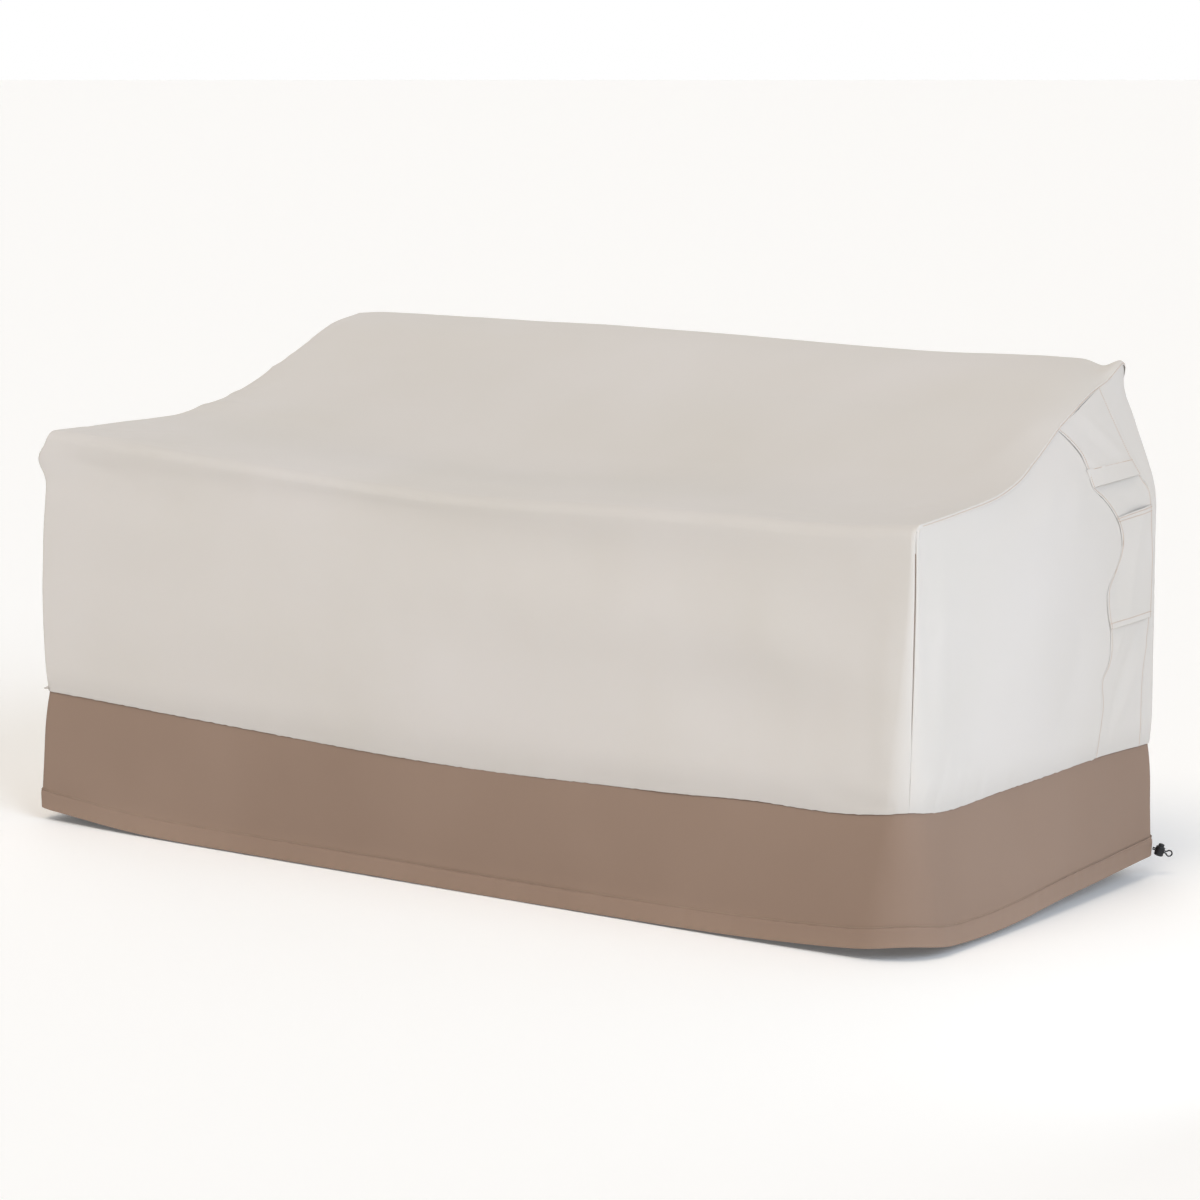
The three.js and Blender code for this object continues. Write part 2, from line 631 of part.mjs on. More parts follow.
// The band is one ring round the foot of the cover; its turned-up hem is the drawcord's casing.
function skirtBand() {
  const spans = ["front", "frontRight", "right", "rearRight", "back", "rearLeft", "left", "frontLeft"];
  const front = frontPlaces.map((place) => (place + 1) / 2);
  const sideShares = (side) => {
    const depths = footDepths(side);
    return depths.map((q) => (q - depths[0]) / (depths.at(-1) - depths[0]));
  };
  const left = sideShares(-1).map((t) => 1 - t).reverse();
  const corner = evenly(10);
  const shares = { front, right: sideShares(1), back: front, left, frontRight: corner, frontLeft: corner };
  const columns = spans.flatMap((name, i) =>
    (shares[name] ?? evenly(4)).slice(0, -1).map((t) => (i + t) / spans.length),
  );
  const outline = (name, t, z) => {
    const half = halfWidthAt(z);
    const front = frontAt(z);
    const back = backAt(z);
    const wide = { right: cornerAt(1, z), left: cornerAt(-1, z) };
    const arc = (cx, cy, radius, from) => {
      const angle = from + (t * Math.PI) / 2;
      return [cx + radius * Math.cos(angle), cy + radius * Math.sin(angle)];
    };
    const turn = Math.PI / 2;
    switch (name) {
      case "front":
        return [(2 * t - 1) * (half - wide[handOf(2 * t - 1)]), front];
      case "frontRight":
        return arc(half - wide.right, front + wide.right, wide.right, -turn);
      case "right":
        return [half, lerp(front + wide.right, back - REAR_ROUND, t)];
      case "rearRight":
        return arc(half - REAR_ROUND, back - REAR_ROUND, REAR_ROUND, 0);
      case "back":
        return [lerp(half - REAR_ROUND, REAR_ROUND - half, t), back];
      case "rearLeft":
        return arc(REAR_ROUND - half, back - REAR_ROUND, REAR_ROUND, turn);
      case "left":
        return [-half, lerp(back - REAR_ROUND, front + wide.left, t)];
      default:
        return arc(wide.left - half, front + wide.left, wide.left, 2 * turn);
    }
  };
  const surface = (u, v) => {
    const place = (u % 1) * spans.length;
    const i = Math.min(Math.floor(place), spans.length - 1);
    const name = spans[i];
    const t = place - i;
    const sag = name === "back" ? BACK_HEM_SAG * Math.sin(Math.PI * t) : 0;
    const hem = edgeHeight("hem", ...outline(name, t, LEVEL.hem)) - sag;
    const seam = edgeHeight("seam", ...outline(name, t, LEVEL.seam));
    const z = lerp(hem, seam, v);
    return new THREE.Vector3(...outline(name, t, z), z);
  };
  const tall = LEVEL.seam - LEVEL.hem;
  const share = CASING.height / tall;
  const swell = (v) => CASING.swell * Math.sin(Math.PI * clamp(v / share, 0, 1));
  return clothSolid({
    surface,
    columns,
    rows: [...CASING_ROWS.map((row) => row * share), ...BAND_ROWS],
    outer: swell,
    inner: (v) => -CLOTH - swell(v) / 2,
    ring: true,
  });
}

// Solids of the lock are joined and cut from turned and extruded shapes.
const wasm = await Module();
wasm.setup();

function toSolid(geometry) {
  const bare = geometry.clone();
  bare.deleteAttribute("normal");
  bare.deleteAttribute("uv");
  const merged = mergeVertices(bare, 1e-4);
  return new wasm.Manifold(
    new wasm.Mesh({
      numProp: 3,
      vertProperties: new Float32Array(merged.attributes.position.array),
      triVerts: new Uint32Array(merged.index.array),
    }),
  );
}

function toGeometry(solid) {
  const mesh = solid.getMesh();
  const geometry = new THREE.BufferGeometry();
  geometry.setAttribute("position", new THREE.BufferAttribute(new Float32Array(mesh.vertProperties), 3));
  geometry.setIndex(new THREE.BufferAttribute(new Uint32Array(mesh.triVerts), 1));
  geometry.computeVertexNormals();
  return geometry;
}

// Body turned about Z from a half profile of [radius, height] rows
function turned(profile) {
  const sides = 28;
  const points = profile.map(([radius, height]) => new THREE.Vector2(radius, height));
  return new THREE.LatheGeometry(points, sides).rotateX(Math.PI / 2);
}

// Bar along X with round ends, that cuts the passage of the two strands
function passage(low, high, length) {
  const radius = CORD / 2 + GAP;
  const shape = new THREE.Shape();
  shape.absarc(0, high, radius, 0, Math.PI);
  shape.absarc(0, low, radius, Math.PI, 2 * Math.PI);
  shape.closePath();
  const bar = new THREE.ExtrudeGeometry(shape, { depth: length, bevelEnabled: false, curveSegments: 8 });
  bar.translate(0, 0, -length / 2);
  return bar.rotateX(Math.PI / 2).rotateZ(Math.PI / 2);
}

function lockBarrel() {
  const { diameter, height, floor, bore, edge } = LOCK;
  const outer = diameter / 2;
  const body = turned([
    [0, 0],
    [outer - 2 * edge, 0],
    [outer - edge * 0.6, edge * 0.6],
    [outer, 2 * edge],
    [outer, height - edge],
    [outer - edge, height],
    [bore / 2, height],
    [bore / 2, floor],
    [0, floor],
  ]);
  const hole = passage(STRANDS.low, STRANDS.high, diameter * 2);
  return toGeometry(toSolid(body).subtract(toSolid(hole)));
}

function lockPlunger() {
  const { height, stem, stemFoot, proud, travel, edge } = LOCK;
  const radius = stem / 2;
  const body = turned([
    [0, stemFoot],
    [radius, stemFoot],
    [radius, height + proud - edge],
    [radius - edge * 0.4, height + proud - edge * 0.4],
    [radius - edge, height + proud],
    [0, height + proud + edge * 0.4],
  ]);
  const hole = passage(STRANDS.low, STRANDS.high + travel, stem * 2);
  return toGeometry(toSolid(body).subtract(toSolid(hole)));
}

// The cord's route in the lock's frame: out of the casing, through the lock, round a loop and back.
function drawcord() {
  const mid = (STRANDS.low + STRANDS.high) / 2;
  const half = (STRANDS.high - STRANDS.low) / 2;
  const start = -LOCK_STAND_OFF - LOCK.diameter / 2;
  const mouth = LOCK.diameter / 2 + 1;
  const spread = Math.acos((half + LOOP_RADIUS) / (2 * LOOP_RADIUS));
  const centre = mouth + 2 * LOOP_RADIUS * Math.sin(spread);
  const upper = [];
  for (let i = 0; i < 6; i++) upper.push([lerp(start, mouth, i / 6), half]);
  for (let i = 0; i < 4; i++) {
    const a = (spread * i) / 4;
    upper.push([mouth + LOOP_RADIUS * Math.sin(a), half + LOOP_RADIUS * (1 - Math.cos(a))]);
  }
  const arc = Math.PI / 2 + spread;
  for (let i = 0; i < 7; i++) {
    const a = arc * (1 - i / 7);
    upper.push([centre + LOOP_RADIUS * Math.cos(a), LOOP_RADIUS * Math.sin(a)]);
  }
  const lower = upper.map(([x, z]) => [x, -z]).reverse();
  const points = [...upper, [centre + LOOP_RADIUS, 0], ...lower];
  const path = new THREE.CatmullRomCurve3(
    points.map(([x, z]) => new THREE.Vector3(x, 0, mid + z)),
    false,
    "centripetal",
  );
  const section = new THREE.Shape();
  for (let i = 0; i < CORD_SIDES; i++) {
    const angle = (2 * Math.PI * i) / CORD_SIDES;
    const point = [(CORD / 2) * Math.cos(angle), (CORD / 2) * Math.sin(angle)];
    if (i) section.lineTo(...point);
    else section.moveTo(...point);
  }
  section.closePath();
  return new THREE.ExtrudeGeometry(section, { extrudePath: path, steps: 36 });
}

const material = (name, color, roughness) =>
  new THREE.MeshStandardMaterial({ name, color, roughness, metalness: 0 });
const cream = material("cream cloth", COLOURS.cream, ROUGHNESS.cloth);
const taupe = material("taupe cloth", COLOURS.taupe, ROUGHNESS.cloth);
const black = material("black plastic", COLOURS.black, ROUGHNESS.plastic);

function piece(name, geometry, look) {
  const mesh = new THREE.Mesh(geometry, look);
  mesh.name = name;
  return mesh;
}

const cover = new THREE.Group();
cover.add(piece("top_front_panel", topFrontPanel(), cream));
cover.add(piece("back_panel", backPanel(), cream));
for (const [hand, side] of [["right", 1], ["left", -1]]) {
  cover.add(piece(`side_panel_${hand}`, sidePanel(side), cream));
  cover.add(piece(`vent_strip_${hand}`, ventStrip(side), cream));
  const hood = { top: hoodTop(side), edge: HOOD_EDGE, standOff: HOOD_STAND_OFF };
  cover.add(piece(`vent_hood_${hand}`, flap(side, hood), cream));
  cover.add(piece(`lower_flap_${hand}`, flap(side, LOWER_FLAP), cream));
}
cover.add(piece("skirt_band", skirtBand(), taupe));

// The lock's frame: X along the cord, Z up the plunger; it stands off the casing at the rear corner.
const turn = THREE.MathUtils.degToRad(CORD_DIRECTION.turn);
const dip = THREE.MathUtils.degToRad(CORD_DIRECTION.dip);
const heading = new THREE.Vector3(Math.cos(turn), Math.sin(turn), 0);
const alongCord = heading.clone().multiplyScalar(Math.cos(dip)).setZ(-Math.sin(dip));
const alongPlunger = heading.clone().multiplyScalar(Math.sin(dip)).setZ(Math.cos(dip));
const acrossLock = new THREE.Vector3().crossVectors(alongPlunger, alongCord);
const exitHeight = SIDE_EDGE.at(-1).hem + CORD_EXIT_ABOVE_HEM;
const corner = drape(sideWall(1, DEPTH - REAR_ROUND + REAR_ROUND * turn, exitHeight));
const lockMiddle = (STRANDS.low + STRANDS.high) / 2;
const lock = new THREE.Group();
lock.matrixAutoUpdate = false;
lock.matrix
  .makeBasis(alongCord, acrossLock, alongPlunger)
  .setPosition(
    corner
      .clone()
      .addScaledVector(alongCord, CORD_START + LOCK_STAND_OFF + LOCK.diameter / 2)
      .addScaledVector(alongPlunger, -lockMiddle),
  );
lock.add(piece("drawcord", drawcord(), black));
lock.add(piece("lock_barrel", lockBarrel(), black));
lock.add(piece("lock_plunger", lockPlunger(), black));
cover.add(lock);

// Origin: under the cloth of the ridge, at the middle of the width
const ridgeTop = drape(new THREE.Vector3(0, RIDGE_Y, topHeight(0, RIDGE_Y)));
cover.position.set(0, -ridgeTop.y, CLOTH - ridgeTop.z);

const part = new THREE.Group();
part.add(cover);
export default part;
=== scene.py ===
# %% [markdown]
# # Bench cover
# A fitted outdoor cover is sewn from a few flat panels of coated polyester. Its cream top, back and sides
# meet a taupe band whose turned-up hem holds a drawcord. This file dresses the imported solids: every cloth
# panel is drawn again as a fine thin sheet on the same folds, then come seams, stitches, materials and light.
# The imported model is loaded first, because everything is placed in its frame.

import math

import bpy
import numpy as np
from mathutils import Matrix, Vector, noise


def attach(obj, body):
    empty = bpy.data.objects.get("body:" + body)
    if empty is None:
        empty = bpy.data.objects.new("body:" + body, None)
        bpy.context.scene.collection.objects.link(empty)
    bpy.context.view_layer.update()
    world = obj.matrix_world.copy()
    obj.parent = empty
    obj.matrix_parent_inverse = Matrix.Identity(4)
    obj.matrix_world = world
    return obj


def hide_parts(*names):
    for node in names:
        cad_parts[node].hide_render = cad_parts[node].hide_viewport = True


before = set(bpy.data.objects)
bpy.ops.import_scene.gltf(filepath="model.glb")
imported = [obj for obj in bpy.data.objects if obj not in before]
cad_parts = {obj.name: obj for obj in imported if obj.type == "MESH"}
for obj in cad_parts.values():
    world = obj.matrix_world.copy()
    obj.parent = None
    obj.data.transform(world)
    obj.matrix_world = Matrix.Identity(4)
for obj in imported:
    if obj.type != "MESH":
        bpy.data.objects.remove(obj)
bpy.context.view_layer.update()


# %% [markdown]
# ## Camera
# The picture was taken from the right front corner, a little above the ridge, with a long lens: the upright
# edges are almost parallel. The camera's place is measured from the ground under the middle of the front.

# %% Place the camera
GROUND = -0.785208
RIDGE_DEPTH = 0.668
CAMERA_PLACE = (3.597, -4.486, 1.326)
CAMERA_TURN, CAMERA_TIP = 0.636, -0.1538
LENS, SENSOR_WIDTH, FAR_CLIP = 117.63, 36, 60


def pick(piece=None):
    """Leaves only that piece selected and active, or nothing selected."""
    bpy.ops.object.select_all(action="DESELECT")
    if piece:
        piece.select_set(True)
        bpy.context.view_layer.objects.active = piece
    return piece


pick()
bpy.ops.object.camera_add()
camera = bpy.context.object
camera.location = Vector(CAMERA_PLACE) - Vector((0, RIDGE_DEPTH, -GROUND))
camera.rotation_euler = (math.pi / 2 + CAMERA_TIP, 0, CAMERA_TURN)
camera.data.lens, camera.data.sensor_width, camera.data.clip_end = LENS, SENSOR_WIDTH, FAR_CLIP
bpy.context.scene.camera = camera
print("camera at", [round(v, 3) for v in camera.location])


# %% [markdown]
# ## Drawcord
# The cord is made straight after the camera. It is a braided polyester cord, 2.2 mm thick: it leaves the hem
# casing at the rear right corner, passes a spring lock twice and so forms a small loop behind it. It is a
# tube along the same route as its solid. The route is set in the lock's own frame: X along the cord, Z up
# the lock's button.

# %% Route of the drawcord
LOCK_AT = (0.8236124, 0.0260709, -0.7524914)
CORD_TURN, CORD_DIP = math.radians(36), math.radians(18)
CORD = 2.2
LOCK_WIDTH = 14.5
STRANDS = {"low": 7.1, "high": 9.6}
LOCK_STAND_OFF, LOOP_RADIUS = 4, 4.4

heading = Vector((math.cos(CORD_TURN), math.sin(CORD_TURN), 0))
along_cord = heading * math.cos(CORD_DIP) - Vector((0, 0, math.sin(CORD_DIP)))
along_button = heading * math.sin(CORD_DIP) + Vector((0, 0, math.cos(CORD_DIP)))
across_lock = along_button.cross(along_cord)
lock_frame = Matrix((along_cord, across_lock, along_button)).transposed().to_4x4()
lock_frame.translation = Vector(LOCK_AT)


def cord_route():
    """The cord's middle line in the lock's frame, in millimetres: in, round the loop and back."""
    middle = (STRANDS["low"] + STRANDS["high"]) / 2
    half = (STRANDS["high"] - STRANDS["low"]) / 2
    start, mouth = -LOCK_STAND_OFF - LOCK_WIDTH / 2, LOCK_WIDTH / 2 + 1
    spread = math.acos((half + LOOP_RADIUS) / (2 * LOOP_RADIUS))
    centre = mouth + 2 * LOOP_RADIUS * math.sin(spread)
    upper = [(start + (mouth - start) * i / 6, half) for i in range(6)]
    for a in (spread * i / 4 for i in range(4)):
        upper.append((mouth + LOOP_RADIUS * math.sin(a), half + LOOP_RADIUS * (1 - math.cos(a))))
    for a in ((math.pi / 2 + spread) * (1 - i / 7) for i in range(7)):
        upper.append((centre + LOOP_RADIUS * math.cos(a), LOOP_RADIUS * math.sin(a)))
    lower = [(x, -z) for x, z in reversed(upper)]
    return [Vector((x, 0, middle + z)) for x, z in [*upper, (centre + LOOP_RADIUS, 0), *lower]]


cord_path = [lock_frame @ (point / 1000) for point in cord_route()]


# %% Make the cord
CORD_SIDES, CORD_FINE = 12, 3


def unit(v):
    return v / np.maximum(np.linalg.norm(v, axis=-1, keepdims=True), 1e-9)


def walked(line):
    """Length walked along a line of points, or along all columns of a grid."""
    steps = np.linalg.norm(np.diff(line, axis=0), axis=-1)
    return np.concatenate([np.zeros_like(steps[:1]), np.cumsum(steps, 0)])


def new_piece(name, places, edges, faces):
    """A mesh object at the origin, from its points in metres. It is selected and active."""
    mesh = bpy.data.meshes.new(name)
    mesh.from_pydata(places, edges, faces)
    piece = bpy.data.objects.new(name, mesh)
    bpy.context.collection.objects.link(piece)
    return pick(piece)


def grid_piece(name, grid, across, up, map_name, ring=False, capped=False):
    """A piece on a grid of points in metres, with its own map. A ring's last column joins its first."""
    many, wide = grid.shape[:2]
    index = np.arange(many * wide).reshape(many, wide)
    if ring:
        index = np.concatenate([index, index[:, :1]], 1)
    low, high = slice(None, -1), slice(1, None)
    corners = [(low, low), (low, high), (high, high), (high, low)]
    faces = np.stack([index[c] for c in corners], -1).reshape(-1, 4).tolist()
    flat = np.stack(np.meshgrid(across, up), -1)
    loops = np.stack([flat[c] for c in corners], -2).ravel()
    if capped:
        faces += [index[0, wide - 1 :: -1].tolist(), index[-1, :wide].tolist()]
        loops = np.append(loops, np.zeros(4 * wide))
    piece = new_piece(name, grid.reshape(-1, 3).tolist(), [], faces)
    layer = piece.data.uv_layers.new(name=map_name)
    layer.data.foreach_set("uv", loops.astype(np.float32))
    return piece


def refined(path):
    """A path with more points, on a smooth curve through the given ones."""
    fine = []
    for i in range(len(path) - 1):
        here, there = path[i : i + 2]
        before, after = path[max(i - 1, 0)], path[min(i + 2, len(path) - 1)]
        for t in (k / CORD_FINE for k in range(CORD_FINE)):
            a = here + (there - before) / 2 * t * (1 - t) ** 2 - (after - here) / 2 * t * t * (1 - t)
            fine.append(a + (there - here) * t * t * (3 - 2 * t))
    return np.array([*fine, path[-1]])


def cord_tube(name, path, diameter):
    """A closed tube along the path, with its own map: round the cord, and metres along it."""
    line = refined(path)
    out = unit(np.cross(across_lock, np.gradient(line, axis=0)))[:, None]
    turns = np.linspace(0, 2 * math.pi, CORD_SIDES, endpoint=False)[:, None]
    rings = line[:, None] + (out * np.cos(turns) + np.array(across_lock) * np.sin(turns)) * diameter / 2
    round_map, run = np.linspace(0, 1, CORD_SIDES + 1), walked(line)
    cord = grid_piece(name, rings, round_map, run, "cord_map", ring=True, capped=True)
    bpy.ops.object.shade_smooth_by_angle(angle=math.radians(50))
    print(name, "faces:", len(cord.data.polygons), "run, mm:", round(1000 * run[-1], 1))
    return cord


drawcord = cord_tube("drawcord_braid", cord_path, CORD / 1000)


# %% [markdown]
# ## Sizes of the cover
# The panels are surfaces over short tables of heights and depths in millimetres, above the ground and
# behind the front face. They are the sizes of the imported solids, so a fine sheet drawn from them lies on
# its solid. A table is read with a smooth cubic between its rows.

# %% Read a table of sizes
HALF_WIDTH, DEPTH, RIDGE_Y = 815, 695, 668
RIDGE_ROUND, FOLD_ROUND, REAR_ROUND = 27, 18, 18
CLOTH, SEAM_GAP = 2, 0.6
LEVEL_FOLD, LEVEL_SEAM, LEVEL_HEM = 595, 205, 20
FLARE_FRONT, FLARE_SIDE, FLARE_BACK = 14.5, 14.5, 1
CORNER_RIGHT = {"fold": 8, "seam": 45, "hem": 88}
CORNER_LEFT = {"fold": 8, "seam": 9, "hem": 11}
CORNER_EASE = 1.4
LEAN_FOOT, LEAN_BLEND, LEAN_RUN, LEAN_RIGHT, LEAN_LEFT = 563, 60, 350, 0.37, 0.5
BACK_HEM_SAG = 12
CORNER_SHARE = 0.235
HANDS = {"right": 1.0, "left": -1.0}


def rows(text):
    """A table whose first line names its columns."""
    names, *lines = (line.split() for line in text.strip().splitlines())
    return dict(zip(names, np.array(lines, float).T))


def mix(a, b, t):
    return a + (b - a) * t


def eased(t):
    return t * t * (3 - 2 * t)


def by_hand(side, left, right):
    """The left value where side is negative, else the right one."""
    return np.where(np.asarray(side) < 0, left, right)


def read(table, at, column):
    """Value of a column at a place along the table's first column, eased through the rows."""
    keys, values = next(iter(table.values())), table[column]
    last = len(keys) - 1
    at = np.clip(at, keys[0], keys[-1])
    i = np.clip(np.searchsorted(keys, at, side="right") - 1, 0, last - 1)
    number = np.arange(last + 1)
    low, high = np.maximum(number - 1, 0), np.minimum(number + 1, last)
    slope = (values[high] - values[low]) / (keys[high] - keys[low])
    step = keys[i + 1] - keys[i]
    t = (at - keys[i]) / step
    start = values[i] * (2 * t**3 - 3 * t**2 + 1) + slope[i] * step * (t**3 - 2 * t**2 + t)
    return start + values[i + 1] * (3 * t**2 - 2 * t**3) + slope[i + 1] * step * (t**3 - t**2)


# %% Tables of the hanging shape
FRONT_EDGE = rows("""
x fold seam hem
-815 634 211 20
-615 623 204 5
-370 609 196 3
-130 597 189 3
60 593 187 2
310 599 192 3
430 600 195 4
540 601 200 6
690 601 200 13
815 611 212 24
""")
SIDE_EDGE = rows("""
y seam hem
0 212 24
100 202 13
240 205 12
400 207 22
520 209 27
695 205 35
""")
RIDGE = rows("""
x z
-740 788
-400 789
-60 788
165 784
300 782
500 780
670 783
740 783
""")
SLOPE = rows("""
y left middle right
0 0 0 0
120 0.035 0.05 0.05
220 0.05 0.1 0.11
300 0.07 0.2 0.22
350 0.135 0.31 0.33
400 0.2 0.43 0.46
450 0.33 0.55 0.6
500 0.505 0.66 0.715
550 0.69 0.775 0.83
600 0.9 0.89 0.925
668 1 1 1
""")
SHOULDER = rows("""
y left right width
0 22 0 6
120 14 0 30
300 7 3 50
450 6 12 66
560 5 17 70
668 4 22 70
""")
STRIP_EDGE = rows("""
z front rear
190 508 652
248 518 650
286 524 649
325 520 652
345 538 656
361 545 659
396 545 667
423 537 671
459 537 674
493 572 676
515 584 674
539 580 671
563 561 669
595 523 665
611 499 650
640 497 634
660 491 628
684 470 621
703 446 615
760 410 600
""")
DRAPE = rows("""
x y z reach_x reach_y reach_z by_x by_y by_z
-815 0 586 45 60 22 -14 -4 0
754 674 765 19 34 26 9 2 22
772 692 746 45 45 26 -8.5 -3 0
722 668 785 20 60 60 0 0 -3
790 685 695 60 60 50 -3 0 0
761 676 776 12 24 14 -1 0 1.5
-480 0 560 430 60 42 0 7 0
120 0 514 460 60 48 0 8 0
-100 0 330 620 60 170 0 -8 0
150 300 640 560 110 90 0 0 -7
815 300 400 60 230 170 6 0 0
815 600 510 60 80 80 -5 0 0
-815 0 330 60 260 300 -17 0 0
815 700 40 60 260 120 -10 0 0
""")
print("height of the fold in the middle:", read(FRONT_EDGE, 0, "fold"))


# %% [markdown]
# ## The walls and the top
# A wall is set by its plan: the half width, the front and the back, which flare towards the hem, and round
# corners. The top runs from the front fold up a hollow slope to the ridge, and turns down at its side seams.
# Last, soft pulls drape the sewn form: a beak, an ear, troughs and a belly.

# %% Plan of the walls
def flare_share(z):
    return np.clip((LEVEL_SEAM - z) / (LEVEL_SEAM - LEVEL_HEM), 0, 1.1)


def half_width_at(z):
    return HALF_WIDTH + FLARE_SIDE * flare_share(z)


def front_at(z):
    return -FLARE_FRONT * flare_share(z)


def back_at(z):
    return DEPTH + FLARE_BACK * flare_share(z)


def corner_radius(side, level):
    return by_hand(side, CORNER_LEFT[level], CORNER_RIGHT[level])


def corner_at(side, z):
    """Radius of a front corner: sharp at the fold, wide at the seam and the hem on the right."""
    fold, seam, hem = (corner_radius(side, level) for level in ("fold", "seam", "hem"))
    drop = np.clip((LEVEL_FOLD - z) / (LEVEL_FOLD - LEVEL_SEAM), 0, 1)
    return np.where(z < LEVEL_SEAM, mix(seam, hem, flare_share(z)), mix(fold, seam, drop**CORNER_EASE))


def round_off(inset, radius):
    arc = radius - np.sqrt(np.maximum(0, radius**2 - (radius - inset) ** 2))
    return np.where(inset >= radius, 0, arc)


def lean_at(side, y, z):
    over = np.maximum(0, z - LEAN_FOOT)
    bend = np.where(over < LEAN_BLEND, over**2 / (2 * LEAN_BLEND), over - LEAN_BLEND / 2)
    return by_hand(side, LEAN_LEFT, LEAN_RIGHT) * bend * np.clip(y / LEAN_RUN, 0, 1)


def points(x, y, z):
    return np.stack(np.broadcast_arrays(x, y, z), -1).astype(float)


def side_wall(side, q, z):
    """Point of a side wall. Past the start of the rear corner, q runs on round the corner's arc."""
    start = back_at(z) - REAR_ROUND
    turn = np.clip((q - start) / REAR_ROUND, 0, math.pi / 2)
    y = np.minimum(q, start) + REAR_ROUND * np.sin(turn)
    cut = round_off(q - front_at(z), corner_at(side, z)) + REAR_ROUND * (1 - np.cos(turn))
    return points(side * (half_width_at(z) - lean_at(side, y, z) - cut), y, z)


# %% Heights of the top cloth and of the seams
def hand_column(table, at, side):
    return by_hand(side, read(table, at, "left"), read(table, at, "right"))


def top_height(across, y):
    """Height of the draped top: across runs from -1 to 1 between the side seams."""
    share = mix(read(SLOPE, y, "middle"), hand_column(SLOPE, y, across), eased(np.abs(across)))
    x = across * HALF_WIDTH
    return mix(read(FRONT_EDGE, x, "fold"), read(RIDGE, x, "z"), share)


def seam_height(side, y):
    """Height of the top cloth's side seam: it rounds the fold, climbs the slope and turns down behind."""
    level = np.clip(y, FOLD_ROUND, RIDGE_Y)
    height = top_height(side, level) - hand_column(SHOULDER, level, side)
    front = np.where(y < FOLD_ROUND, round_off(y, FOLD_ROUND), 0)
    return height - front - np.where(y > RIDGE_Y, round_off(DEPTH - y, RIDGE_ROUND), 0)


def under_seam(side, y):
    """Upper edge of a side piece, set back under the top cloth."""
    under = CLOTH + 2 * SEAM_GAP

    def in_round(radius, far):
        return np.sqrt(np.maximum(0, (radius - under) ** 2 - far**2)) - radius

    at_fold = seam_height(side, FOLD_ROUND) + in_round(FOLD_ROUND, FOLD_ROUND - y)
    over = 2 * SEAM_GAP * (y - RIDGE_Y) / RIDGE_ROUND
    at_ridge = seam_height(side, RIDGE_Y) + in_round(RIDGE_ROUND, y - RIDGE_Y) - over
    far, near = np.minimum(y + 2, RIDGE_Y), np.clip(y - 2, FOLD_ROUND, RIDGE_Y - 1)
    rise = (seam_height(side, far) - seam_height(side, near)) / np.maximum(far - near, 1)
    between = seam_height(side, y) - under * np.hypot(1, rise)
    return np.where(y < FOLD_ROUND, at_fold, np.where(y > RIDGE_Y, at_ridge, between))


def edge_height(column, x, y):
    """Height of the band's seam or hem at a spot of the outline, eased round the front corners."""
    radius = corner_radius(x, column)
    far = np.abs(x) - (HALF_WIDTH - radius)
    front, side = read(FRONT_EDGE, x, column), read(SIDE_EDGE, y, column)
    angle = np.arctan2(far, radius - y)
    round_it = mix(front, side, eased(np.clip(2 * angle / math.pi, 0, 1)))
    return np.where(y >= radius, side, np.where(far <= 0, front, round_it))


def foot_height(side, y):
    inset = round_off(y, corner_radius(side, "seam"))
    return edge_height("seam", side * (HALF_WIDTH - inset), y) + SEAM_GAP


def drape(p):
    moved = p.copy()
    for x, y, z, rx, ry, rz, *by in zip(*DRAPE.values()):
        far = ((p - (x, y, z)) / (rx, ry, rz)) ** 2
        moved = moved + np.exp(-far.sum(-1))[..., None] * np.array(by)
    return moved


ridge_top = drape(points(0.0, RIDGE_Y, top_height(0.0, RIDGE_Y)))
ORIGIN = np.array([0, ridge_top[1], ridge_top[2] - CLOTH])
print("origin above the ground, mm:", ORIGIN.round(3))


# %% [markdown]
# ## Fine sheets
# A real panel is one sheet of cloth. Here it is a fine grid of points on the surface of its solid. Creases
# are placed as soft troughs and ridges, the sewn edges are folded in, and a Solidify modifier gives
# the cloth its thickness. The cloth's own map is measured along the grid, so a weave keeps its true scale.

# %% Stations and normals of a grid
SHEET = 0.5
RIM = np.array([0, 0.35, 0.9, 1.8, 3.2, 5.0, 7.4, 10.4])
CREASE_END = 0.35


def stations(length, coarse, end=True):
    """Places from 0 to 1 along an edge of that length, close together near its sewn ends."""
    high = length - RIM[::-1] if end else np.array([length])
    count = max(2, int((high[0] - RIM[-1]) / coarse) + 1)
    return np.concatenate([RIM, np.linspace(RIM[-1], high[0], count + 1)[1:-1], high]) / length


def normals_of(grid, ring=False):
    """Outward normals of a grid whose columns run to the right and whose rows run up."""
    across = np.roll(grid, -1, 1) - np.roll(grid, 1, 1) if ring else np.gradient(grid, axis=1)
    return unit(np.cross(across, np.gradient(grid, axis=0)))


def lifted(grid, height, ring=False):
    """The grid moved out along its normals."""
    return grid + normals_of(grid, ring) * height[..., None]


def uneven(grid, size, seed):
    """Smooth noise from -1 to 1 over the cloth, with lumps of that size in millimetres."""
    flat = (grid / size + seed).reshape(-1, 3)
    return np.array([noise.noise(Vector(p)) for p in flat]).reshape(grid.shape[:-1])


def creased(grid, across, run, creases):
    """The grid with soft creases: lines on the flat cloth with a width and a rise, minus for a trough."""
    height = np.zeros(grid.shape[:2])
    for x0, r0, x1, r1, width, rise in zip(*creases.values()):
        way = np.array([x1 - x0, r1 - r0])
        t = np.clip(((across - x0) * way[0] + (run - r0) * way[1]) / (way @ way), 0, 1)
        far = np.hypot(across - x0 - t * way[0], run - r0 - t * way[1])
        fade = np.sin(math.pi * np.clip(t, 0.04, 0.96)) ** 0.7
        height += rise * np.exp(-((far / width) ** 2)) * mix(CREASE_END, 1, fade)
    return lifted(grid, height)


